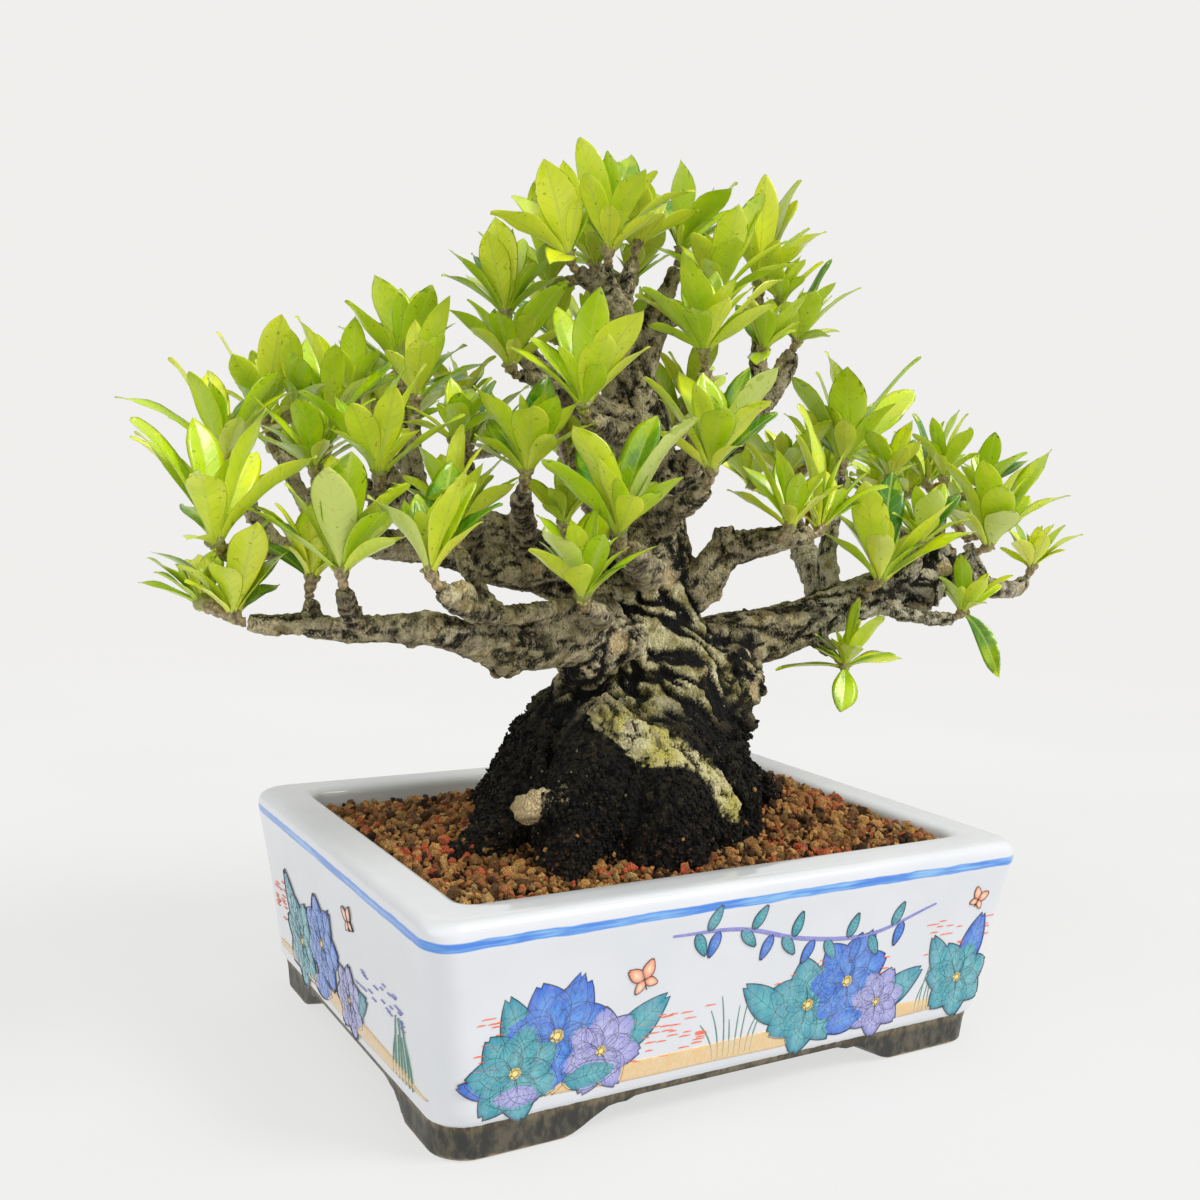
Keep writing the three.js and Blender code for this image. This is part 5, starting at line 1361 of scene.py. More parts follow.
def build_pot(material):
    """The porcelain: one closed skin lofted from the middle of the floor up the inside, over the
    rim, down the outside and round the feet; then the two drain holes are cut."""
    low = foot_edge(rounded_ring(FOOT_INSET, 8))
    inside = [(FLOOR_INSET + 30, FLOOR_TOP_Z, 4), (FLOOR_INSET + 2, FLOOR_TOP_Z, 4),
              (FLOOR_INSET + 0.2, FLOOR_TOP_Z + 0.7, 4), (FLOOR_INSET - 0.6, FLOOR_TOP_Z + 2.4, 4)]
    inside += [(between((FLOOR_INSET - 0.6, MOUTH_INSET), k / 8),
                between((FLOOR_TOP_Z + 2.4, POT_HEIGHT - 2), k / 8), 4) for k in range(1, 9)]
    lip = [(MOUTH_INSET - 0.25, POT_HEIGHT - 1.2, 4.2), (MOUTH_INSET - 0.8, POT_HEIGHT - 0.6, 4.5),
           (MOUTH_INSET - 1.6, POT_HEIGHT - 0.2, 4.8), (MOUTH_INSET - 2.4, POT_HEIGHT, 5),
           (MOUTH_INSET - 5, POT_HEIGHT, 5.5), (4.6, POT_HEIGHT, 6), (2.6, POT_HEIGHT - 0.05, 6.5),
           (1.7, POT_HEIGHT - 0.3, 6.5), (1.0, POT_HEIGHT - 0.8, 6.5), (0.4, POT_HEIGHT - 1.5, 6.5),
           (0.1, POT_HEIGHT - 2.4, 6.5)]
    wall_steps = np.linspace(0, 1, 16)
    wall = [(wall_inset(p), between((BLUE_LINE_Z, WALL_LOW_Z), p), between((POT_CORNER, 8), p))
            for p in wall_steps]
    wall_foot = [(WALL_LEAN + 0.1, WALL_FOOT_Z + 1.1, 8), (WALL_LEAN + 0.7, WALL_FOOT_Z + 0.5, 8),
                 (FOOT_INSET - 0.7, WALL_FOOT_Z + 0.1, 8)]
    rings = [ring_at(*row) for row in inside + lip + wall + wall_foot]
    for part in (0.25, 0.5, 0.75, 0.93):
        z = between((WALL_FOOT_Z - 0.1, 0), part) * np.ones_like(low)
        rings.append(ring_at(FOOT_INSET - 0.5 + 0.6 * part, np.maximum(z, low + 0.25), 8))
    rings.append(ring_at(FOOT_INSET + 0.7, low + 0.02, 8))
    rings.append(ring_at(FOOT_INSET + FOOT_WIDTH - 1, low + 0.02, 4))
    rings.append(ring_at(FOOT_INSET + FOOT_WIDTH, np.minimum(low + 0.6, 6.35), 4))
    rings.append(ring_at(FOOT_INSET + FOOT_WIDTH, 6.4, 4))
    rings.append(ring_at(FOOT_INSET + FOOT_WIDTH + 30, 6.4, 4))
    rings = np.array(rings)
    outside = np.zeros(len(rings))
    outside[len(inside) + 4:] = 1
    points, faces = lofted(rings)
    flags = np.concatenate([np.repeat(outside, rings.shape[1]), [0, 0]])
    faces = [group[:, ::-1] for group in faces]
    piece = new_object("porcelain", points, faces, {"outside": flags})
    for side in (-1, 1):
        cut_hole(piece, side * DRAIN_X)
    dress(piece, material, "glaze", "pot")


def cut_hole(piece, x):
    """Cuts a round drain hole through the floor."""
    angle = around(DRAIN_SIDES)
    ring = np.column_stack([x + DRAIN_RADIUS * np.cos(angle), DRAIN_RADIUS * np.sin(angle), 0 * angle])
    cutter = new_object("cutter", *lofted(np.array([ring + [0, 0, 2], ring + [0, 0, 20]])))
    modifier = piece.modifiers.new("hole", "BOOLEAN")
    modifier.operation = "DIFFERENCE"
    modifier.object = cutter
    mesh = evaluated_mesh(piece)
    piece.modifiers.clear()
    piece.data = mesh
    bpy.data.objects.remove(cutter)


# Soil

GRAIN_SEED = 911
GRAIN_STEP = 2.15
GRAIN_RADIUS = (0.6, 1.9)
CLIMB = 2.2
CLIMB_CHANCE = 0.2


def soil_height(x, y):
    """Level along the front, lower behind, with bell-shaped heaps at the trunk and on its right."""
    heap = SOIL_HEAP * np.exp(-((x - HEAP_MIDDLE[0]) ** 2 / HEAP_SPREAD[0]
                                + (y - HEAP_MIDDLE[1]) ** 2 / HEAP_SPREAD[1]))
    side = SIDE_HEAP[2] * np.exp(-((x - SIDE_HEAP[0]) ** 2 + (y - SIDE_HEAP[1]) ** 2) / SIDE_SPREAD)
    return SOIL_EDGE_Z + heap + side - SOIL_DROP * smoothstep(y, *DROP_RUN)


def build_soil(grain_material, bed_material, wood_points, wood_normals):
    """A bed, which is the plain solid, under two layers of clay granules, lumps of 20 faces with a
    tone and a tint drawn for each. Some lie on the foot of the trunk."""
    dress_node("soil", bed_material)
    rng = np.random.default_rng(GRAIN_SEED)
    half_x, half_y = POT_HALF_X - MOUTH_INSET - 1.2, POT_HALF_Y - MOUTH_INSET - 1.2
    grid = np.stack(np.meshgrid(np.arange(-half_x, half_x, GRAIN_STEP),
                                np.arange(-half_y, half_y, GRAIN_STEP)), axis=-1).reshape(-1, 2)
    spots = np.concatenate([grid, grid + GRAIN_STEP / 2])
    spots = spots + rng.uniform(-0.9, 0.9, spots.shape)
    upper = np.repeat([0.0, 1.0], len(grid))
    inside = (np.abs(spots[:, 0]) < half_x) & (np.abs(spots[:, 1]) < half_y)
    spots, upper = spots[inside], upper[inside]
    radius = GRAIN_RADIUS[0] + (GRAIN_RADIUS[1] - GRAIN_RADIUS[0]) * rng.random(len(spots)) ** 2
    z = soil_height(spots[:, 0], spots[:, 1]) + upper * 0.9 + rng.uniform(-0.5, 0.5, len(spots))
    centres = np.column_stack([spots, z])
    first, second, _ = capsules(ROOTS + [LIMBS["trunk"][:8]])
    gap = np.concatenate([capsule_distances(centres[k:k + GRAINS_AT_ONCE], first, second)[0].min(axis=1)
                          for k in range(0, len(centres), GRAINS_AT_ONCE)])
    keep = gap > -1.0
    centres, radius = centres[keep], radius[keep]
    rise = wood_points[:, 2] - soil_height(wood_points[:, 0], wood_points[:, 1])
    chance = np.exp(-np.maximum(rise, 0) / CLIMB) * (rise > -1) * (wood_normals[:, 2] > 0.25) * CLIMB_CHANCE
    chosen = rng.random(len(chance)) < chance
    centres = np.concatenate([centres, wood_points[chosen] + 0.3 * wood_normals[chosen]])
    radius = np.concatenate([radius, rng.uniform(0.4, 0.9, chosen.sum())])
    order = np.argsort(centres[:, 1])
    half = len(order) // 2
    for name, part in (("soil_grains_front", order[:half]), ("soil_grains_back", order[half:])):
        look = np.repeat(rng.random((len(part), 3)), len(GRAIN_POINTS), axis=0)
        piece = lumps(name, centres[part], radius[part], rng, GRAIN_POINTS, GRAIN_FACES, {"grain": look})
        dress(piece, grain_material, "soil")


def lumps(name, centres, radius, rng, ball_points, ball_faces, attributes):
    """One mesh of balls, each squashed, turned and roughened by its own draws."""
    count, corners = len(centres), len(ball_points)
    turn = np.linalg.qr(rng.normal(size=(count, 3, 3)))[0]
    squash = rng.uniform(0.62, 1.2, (count, 1, 3))
    shape = ball_points[None] * squash * (1 + rng.uniform(-0.3, 0.3, (count, corners, 1)))
    flip = np.sign(np.linalg.det(turn))[:, None, None]
    shape = np.einsum("nij,nkj->nik", shape, turn * flip)
    points = centres[:, None] + shape * radius[:, None, None]
    faces = ball_faces[None] + (np.arange(count) * corners)[:, None, None]
    return new_object(name, points.reshape(-1, 3), [faces.reshape(-1, 3)], attributes, smooth=False)


def dress_node(name, material):
    """Gives a node of the frame that stays in sight its material."""
    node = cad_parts[name]
    node.data.materials.clear()
    node.data.materials.append(material)


# Enamel painting: a generic flower border

ENAMEL_LIFT = 0.08
ENAMEL_SINK = 0.06
LEVEL_STEP = 0.0006
STROKE_LIFT = 0.05
ENAMEL_SEED = 5
INK = (0.012, 0.014, 0.02)
COBALT = (0.01, 0.1, 0.62)
TEAL = (0.01, 0.26, 0.38)
LILAC = (0.25, 0.25, 0.62)
ORANGE = (0.9, 0.17, 0.06)
YELLOW = (0.88, 0.62, 0.05)
SAND = (0.8, 0.58, 0.3)
MOSS = (0.1, 0.28, 0.2)
LIGHTER = {COBALT: (0.08, 0.33, 0.85), TEAL: (0.1, 0.5, 0.55), LILAC: (0.5, 0.5, 0.85)}
LEFT_BED = [
    ("leaf", -55, 18, 19, 112, TEAL), ("leaf", -50, 22, 17, 74, COBALT), ("leaf", -37, 18, 18, 40, TEAL),
    ("leaf", -61, 15, 11, 165, COBALT), ("blossom", -50, 25, 12.5, 10, COBALT),
    ("blossom", -39, 19.5, 9.5, 40, LILAC), ("blossom", -59, 18.5, 10.5, 25, TEAL),
    ("leaf", -48, 14, 14, 5, TEAL), ("leaf", -52, 13, 13, 178, LILAC),
]
RIGHT_BED = [
    ("leaf", 10, 17, 17, 140, TEAL), ("leaf", 25, 20, 18, 62, COBALT), ("leaf", 36, 15, 17, 30, TEAL),
    ("blossom", 16, 20, 11.5, 0, TEAL), ("blossom", 27, 24, 11.5, 22, COBALT),
    ("blossom", 37, 17, 8.5, 10, LILAC), ("leaf", 21, 13, 14, 8, COBALT),
    ("leaf", 64, 20, 16, 72, COBALT), ("leaf", 60, 18, 15, 118, TEAL), ("blossom", 63, 19, 10, 15, TEAL),
]
BRANCH_TURNS = (-62, 58, -118)
BRANCH_COLOURS = (TEAL, TEAL, COBALT)
END_BED = [
    ("leaf", -30, 20, 18, 118, TEAL), ("leaf", -12, 20, 18, 60, COBALT), ("leaf", 6, 15, 15, 28, TEAL),
    ("blossom", -28, 20, 11.5, 12, TEAL), ("blossom", -11, 25, 11.5, 0, COBALT),
    ("blossom", 7, 17.5, 8.5, 30, LILAC), ("leaf", -20, 13, 14, 4, COBALT),
]


class Wall:
    """One side of the pot as a drawing board: u runs to the right seen from outside, v is the
    height, lift is square to the wall."""

    def __init__(self, turn, half_long, half_deep):
        self.half = half_long
        self.deep = half_deep
        self.right = np.array([math.cos(turn), math.sin(turn), 0])
        self.out = np.array([math.sin(turn), -math.cos(turn), 0])

    def place(self, u, v, lift):
        """A point on the leaning wall; what is past its end bends round the corner's arc."""
        inset = wall_inset(np.clip((BLUE_LINE_Z - v) / (BLUE_LINE_Z - WALL_LOW_Z), 0, 1))
        flat = self.half - inset - POT_CORNER
        angle = np.clip((np.abs(u) - flat) / POT_CORNER, 0, math.pi / 2)
        depth = self.deep - inset - POT_CORNER + (POT_CORNER + lift) * np.cos(angle)
        u = np.sign(u) * (np.minimum(np.abs(u), flat) + (POT_CORNER + lift) * np.sin(angle))
        return (np.multiply.outer(u, self.right) + np.multiply.outer(depth, self.out)
                + np.multiply.outer(v, np.array([0, 0, 1.0])))


FRONT = Wall(0, POT_HALF_X, POT_HALF_Y)
BACK = Wall(math.pi, POT_HALF_X, POT_HALF_Y)
RIGHT_END = Wall(math.pi / 2, POT_HALF_Y, POT_HALF_X)
LEFT_END = Wall(-math.pi / 2, POT_HALF_Y, POT_HALF_X)


class Enamel:
    """Collects the painted shapes of the whole pot into one piece; each filled shape lies a
    little higher than the one before it."""

    def __init__(self, seed):
        self.parts = []
        self.colours = []
        self.level = ENAMEL_LIFT
        self.rng = np.random.default_rng(seed)

    def add(self, points, faces, colours):
        self.parts.append((points, faces))
        self.colours.append(colours)

    def fill(self, wall, outline, colour, inner=None):
        """A filled shape: rings shrink from its outline to its middle; it is a low dome whose
        edge is sunk in the glaze, and its colour runs from colour at the edge to inner."""
        self.level += LEVEL_STEP
        outline = np.asarray(outline, float)
        middle = outline.mean(axis=0)
        scale = np.array([1, 0.985, 0.75, 0.45, 0.15])
        heights = np.array([-ENAMEL_SINK, 0.6 * self.level, self.level, self.level, self.level])
        flat = middle + (outline[None] - middle) * scale[:, None, None]
        lifts = np.repeat(heights[:, None], len(outline), axis=1)
        points = wall.place(flat[..., 0], flat[..., 1], lifts).reshape(-1, 3)
        points = np.concatenate([points, [wall.place(middle[0], middle[1], self.level)]])
        count = len(outline)
        quads, row, after = ring_quads(len(scale), count)
        last = (len(scale) - 1) * count
        fan = np.stack([last + row, last + after, np.full(count, len(points) - 1)], axis=-1)
        inner = colour if inner is None else inner
        part = np.concatenate([np.repeat(np.clip(1.1 - scale, 0, 1), count), [1.0]])
        tint = np.outer(1 - part, colour) + np.outer(part, inner)
        area = np.cross(outline - middle, np.roll(outline, -1, axis=0) - middle).sum()
        if area < 0:
            quads, fan = quads[..., ::-1], fan[:, ::-1]
        self.add(points, [fan, quads.reshape(-1, 4)], tint)

    def stroke(self, wall, path, width, colour=INK):
        """A brush line: a ridge three points wide that thins towards both ends."""
        path = np.asarray(path, float)
        along = np.gradient(path, axis=0)
        along /= np.maximum(np.linalg.norm(along, axis=1), 1e-6)[:, None]
        side = np.column_stack([-along[:, 1], along[:, 0]])
        t = np.linspace(0, 1, len(path))
        half = (width / 2 * (0.35 + 0.65 * np.sin(np.pi * np.clip(t, 0.02, 0.98)) ** 0.5))[:, None]
        flat = np.stack([path + side * half, path, path - side * half], axis=1)
        lifts = np.broadcast_to([-ENAMEL_SINK, self.level + STROKE_LIFT, -ENAMEL_SINK], flat.shape[:2])
        points = wall.place(flat[..., 0], flat[..., 1], lifts).reshape(-1, 3)
        start = (3 * np.arange(len(path) - 1))[:, None]
        quads = np.concatenate([start + [0, 1, 4, 3], start + [1, 2, 5, 4]])[:, ::-1]
        self.add(points, [np.zeros((0, 3), int), quads], np.tile(colour, (len(points), 1)))


def laid(flat, u, v, turn):
    """Plane points turned by turn degrees and moved to (u, v)."""
    c, s = heading_of(turn)
    return flat @ np.array([[c, s], [-s, c]]) + [u, v]


def oval(u, v, half_long, half_wide, turn, count=20, wobble=0.0, lobes=5):
    """Ellipse with a wavy edge, turned by turn degrees."""
    angle = around(count)
    reach = 1 + wobble * np.cos(lobes * angle)
    flat = np.column_stack([half_long * np.cos(angle) * reach, half_wide * np.sin(angle) * reach])
    return laid(flat, u, v, turn)


def petal(u, v, length, width, turn, count=22):
    """Drop shape from (u, v) outwards: width follows sin(pi s^0.8), with a notched end."""
    s = np.linspace(0, 1, count // 2)
    half = width / 2 * np.sin(np.pi * s ** 0.8 * 0.97) ** 0.8
    up = np.column_stack([s * length, half])
    down = np.column_stack([s[::-1] * length, -half[::-1]])
    flat = np.concatenate([up, [[length * 0.93, 0]], down[:-1]])
    return laid(flat, u, v, turn)


def curve(points, count=24):
    """Smooth plane path through given points."""
    rows = [(u, v, 0, 0) for u, v in points]
    row = smoothed_row(rows, np.linalg.norm(np.diff(points, axis=0), axis=1).sum() / count)
    return row[:, :2]


def closed_line(outline):
    return np.concatenate([outline, outline[:1]])


def paint_blossom(art, wall, u, v, size, turn, colour):
    """Blossom: three wreaths of broad inked petals, hatched with short strokes, round a yellow eye."""
    for ring, (reach, count) in enumerate([(1.0, 7), (0.7, 6), (0.42, 5)]):
        for k in range(count):
            way = turn + 360 * (k + 0.5 * (ring % 2)) / count
            shape = petal(*((u, v) + 0.06 * size * heading_of(way)), size * reach, size * reach * 0.84, way)
            art.fill(wall, shape, colour, LIGHTER[colour])
            art.stroke(wall, closed_line(shape), 0.36)
            for side in (-15, 0, 15):
                hatch = [(u, v) + size * reach * p * heading_of(way + side) for p in (0.66, 0.76, 0.86)]
                art.stroke(wall, hatch, 0.24)
    art.fill(wall, oval(u, v, size * 0.16, size * 0.15, 0, 14), YELLOW, (0.95, 0.8, 0.3))


def paint_leaf(art, wall, u, v, length, width, turn, colour):
    """Leaf: a drop with inked edge, midrib and side veins."""
    shape = petal(u, v, length, width, turn)
    art.fill(wall, shape, colour, LIGHTER[colour])
    art.stroke(wall, closed_line(shape), 0.34)
    way = heading_of(turn)
    side = np.array([-way[1], way[0]])
    art.stroke(wall, [(u, v) + way * length * p for p in (0, 0.3, 0.6, 0.9)], 0.3)
    for p in (0.25, 0.42, 0.58, 0.72):
        for sign in (-1, 1):
            reach = width * 0.36 * math.sin(math.pi * p ** 0.8)
            start = (u, v) + way * length * p
            art.stroke(wall, [start, start + way * reach * 0.4 + side * sign * reach * 0.55,
                              start + way * reach * 0.75 + side * sign * reach], 0.22)


def paint_grass(art, wall, u, v, height, lean, colour):
    """Blade of grass: a tapering stroke bent by a parabola."""
    t = np.linspace(0, 1, 12)
    art.stroke(wall, np.column_stack([u + lean * t ** 2, v + height * t]), 0.6, colour)


def paint_dashes(art, wall, u_limits, v_limits, count, colour):
    """Short level brush marks, as far light on water, drawn at seeded places."""
    for _ in range(count):
        u = art.rng.uniform(*u_limits)
        v = art.rng.uniform(*v_limits)
        art.stroke(wall, [(u, v), (u + 0.9, v + 0.06), (u + art.rng.uniform(1.8, 3.2), v)], 0.6, colour)


def paint_wash(art, wall, u0, u1, v, height, colour):
    """Pale ground: a long flat oval with a wavy edge."""
    art.fill(wall, oval((u0 + u1) / 2, v, (u1 - u0) / 2, height, 0, 48, 0.05, 9), colour)


def paint_butterfly(art, wall, u, v, size, turn, colour):
    for side in (-1, 1):
        for way, reach in ((52, 1.0), (-38, 0.72)):
            shape = petal(u, v, size * reach, size * 0.62 * reach, turn + 90 - side * (90 - way))
            art.fill(wall, shape, colour, (0.93, 0.75, 0.5))
            art.stroke(wall, closed_line(shape), 0.28)
    way = heading_of(turn + 90)
    art.stroke(wall, [(u, v) - 0.5 * size * way, (u, v), (u, v) + 0.4 * size * way], 0.7)


def paint_bed(art, wall, plants):
    """Overlapping leaves and blossoms from (kind, u, v, size, turn, colour) in the order given."""
    for kind, u, v, size, turn, colour in plants:
        if kind == "leaf":
            paint_leaf(art, wall, u, v, size, 0.46 * size, turn, colour)
        else:
            paint_blossom(art, wall, u, v, size, turn, colour)


def paint_front(art, wall):
    """Three beds of blossoms on sandy ground, the left one tallest, under a hanging branch."""
    paint_wash(art, wall, -68, 68, 13.2, 2.4, SAND)
    paint_dashes(art, wall, (-70, -64), (20, 32), 16, ORANGE)
    paint_dashes(art, wall, (-32, -12), (15, 25), 34, ORANGE)
    paint_dashes(art, wall, (4, 40), (22, 31), 46, ORANGE)
    paint_dashes(art, wall, (50, 70), (26, 35), 26, ORANGE)
    for k in range(8):
        paint_grass(art, wall, -10 + 1.5 * k, 11.5, 9 + 3 * (k % 3), -4 + 1.1 * k, MOSS)
        paint_grass(art, wall, 50 + 1.3 * k, 12, 10 + 4 * (k % 2), 4 - k, MOSS)
    paint_bed(art, wall, LEFT_BED + RIGHT_BED)
    branch = curve([(-24, 43), (-6, 42), (12, 37), (32, 35), (52, 40)])
    art.stroke(wall, branch, 1.5, LILAC)
    for k in range(15):
        u, v = branch[2 + int(k * 1.4)]
        turn = BRANCH_TURNS[k % 3] + 5 * (k % 4)
        paint_leaf(art, wall, u, v, 6.5, 2.8, turn, BRANCH_COLOURS[k % 3])
    paint_butterfly(art, wall, -30, 34, 5.0, 20, ORANGE)
    paint_butterfly(art, wall, 66, 39, 3.8, -25, ORANGE)


def paint_end(art, wall):
    """One bed for the short sides."""
    paint_wash(art, wall, -50, 50, 13.2, 2.2, SAND)
    paint_dashes(art, wall, (-50, -42), (20, 32), 16, ORANGE)
    paint_dashes(art, wall, (12, 40), (24, 31), 24, LILAC)
    for k in range(7):
        paint_grass(art, wall, 34 + 1.8 * k, 12, 10 + 4 * (k % 2), 3 - k, MOSS)
    paint_bed(art, wall, END_BED)
    paint_butterfly(art, wall, 12, 38, 4.4, 15, ORANGE)


def build_painting(material):
    art = Enamel(ENAMEL_SEED)
    for wall in (FRONT, BACK):
        paint_front(art, wall)
    for wall in (LEFT_END, RIGHT_END):
        paint_end(art, wall)
    points, faces = joined(art.parts)
    piece = new_object("enamel_flowers", points, faces, {"paint": np.concatenate(art.colours)})
    dress(piece, material, "glaze")


# Materials

def srgb(*channels):
    """Display values 0..255 as linear numbers: ((c + 0.055) / 1.055)^2.4."""
    return tuple(((c / 255 + 0.055) / 1.055) ** 2.4 if c > 10 else c / 255 / 12.92 for c in channels)


class Nodes:
    """Adds and joins the nodes of one tree; a value given as a number or colour is set on the
    socket, and one given as a socket is linked to it."""

    def __init__(self, tree):
        self.tree = tree

    def add(self, kind, **values):
        node = self.tree.nodes.new("ShaderNode" + kind)
        for key, value in values.items():
            setattr(node, key, value)
        return node

    def feed(self, socket, value):
        if isinstance(value, bpy.types.NodeSocket):
            self.tree.links.new(value, socket)
        elif isinstance(value, tuple) and len(value) == 3 and socket.type == "RGBA":
            socket.default_value = (*value, 1)
        else:
            socket.default_value = value

    def math(self, operation, a, b=0.0):
        node = self.add("Math", operation=operation)
        self.feed(node.inputs[0], a)
        self.feed(node.inputs[1], b)
        return node.outputs[0]

    def times(self, a, b):
        return self.math("MULTIPLY", a, b)

    def plus(self, a, b):
        return self.math("ADD", a, b)

    def minus(self, a, b):
        return self.math("SUBTRACT", a, b)

    def mix(self, part, a, b, blend="MIX"):
        node = self.add("Mix", data_type="RGBA", blend_type=blend)
        self.feed(node.inputs[0], part)
        self.feed(node.inputs[6], a)
        self.feed(node.inputs[7], b)
        return node.outputs[2]

    def step(self, value, low, high, start=0.0, end=1.0):
        node = self.add("MapRange", interpolation_type="SMOOTHSTEP")
        for socket, given in zip(node.inputs[:5], (value, low, high, start, end)):
            self.feed(socket, given)
        return node.outputs[0]

    def attribute(self, name, output="Fac"):
        return self.add("Attribute", attribute_name=name).outputs[output]

    def split(self, vector):
        node = self.add("SeparateXYZ")
        self.feed(node.inputs[0], vector)
        return node.outputs

    def merge(self, x, y, z):
        node = self.add("CombineXYZ")
        for socket, value in zip(node.inputs, (x, y, z)):
            self.feed(socket, value)
        return node.outputs[0]

    def place(self):
        """Object coordinates in millimetres."""
        node = self.add("VectorMath", operation="SCALE")
        self.feed(node.inputs[0], self.add("TexCoord").outputs["Object"])
        node.inputs["Scale"].default_value = 1 / MM
        return node.outputs[0]

    def stretched(self, vector, scale):
        node = self.add("VectorMath", operation="MULTIPLY")
        self.feed(node.inputs[0], vector)
        node.inputs[1].default_value = scale
        return node.outputs[0]

    def noise(self, vector, size, detail=3.0, rough=0.55):
        node = self.add("TexNoise")
        self.feed(node.inputs["Vector"], vector)
        node.inputs["Scale"].default_value = 1 / size
        node.inputs["Detail"].default_value = detail
        node.inputs["Roughness"].default_value = rough
        return node.outputs[0]

    def cells(self, vector, size, feature="F1"):
        node = self.add("TexVoronoi", feature=feature)
        self.feed(node.inputs["Vector"], vector)
        node.inputs["Scale"].default_value = 1 / size
        return node.outputs["Distance"]

    def bump(self, height, depth, strength=1.0):
        """Normal bent by a height from 0 to 1 that stands for depth in millimetres."""
        node = self.add("Bump")
        self.feed(node.inputs["Height"], height)
        node.inputs["Distance"].default_value = depth * MM
        node.inputs["Strength"].default_value = strength
        return node.outputs[0]


def new_material(name, **constants):
    """Material with one Principled shader whose unlinked sockets take the constants."""
    material = bpy.data.materials.new(name)
    material.use_nodes = True
    shader = material.node_tree.nodes["Principled BSDF"]
    for key, value in constants.items():
        shader.inputs[key.replace("_", " ")].default_value = value
    return material, Nodes(material.node_tree), shader


def mottle_group():
    """Group: Coordinates (mm) and Size in; Broad and Fine noise out, both 0 to 1, used for the
    uneven tone of every natural surface."""
    tree = bpy.data.node_groups.new("mottle", "ShaderNodeTree")
    tree.interface.new_socket("Coordinates", in_out="INPUT", socket_type="NodeSocketVector")
    tree.interface.new_socket("Size", in_out="INPUT", socket_type="NodeSocketFloat")
    tree.interface.new_socket("Broad", in_out="OUTPUT", socket_type="NodeSocketFloat")
    tree.interface.new_socket("Fine", in_out="OUTPUT", socket_type="NodeSocketFloat")
    nodes = Nodes(tree)
    given = nodes.tree.nodes.new("NodeGroupInput")
    result = nodes.tree.nodes.new("NodeGroupOutput")
    scale = nodes.math("DIVIDE", 1.0, given.outputs["Size"])
    for name, factor, detail in (("Broad", 1.0, 3.0), ("Fine", 7.0, 4.0)):
        noise = nodes.add("TexNoise")
        nodes.feed(noise.inputs["Vector"], given.outputs["Coordinates"])
        nodes.feed(noise.inputs["Scale"], nodes.times(scale, factor))
        noise.inputs["Detail"].default_value = detail
        nodes.feed(result.inputs[name], nodes.step(noise.outputs[0], 0.3, 0.7))
    return tree


MOTTLE = mottle_group()


def mottled(nodes, coordinates, size):
    node = nodes.add("Group", node_tree=MOTTLE)
    nodes.feed(node.inputs["Coordinates"], coordinates)
    node.inputs["Size"].default_value = size
    return node.outputs["Broad"], node.outputs["Fine"]


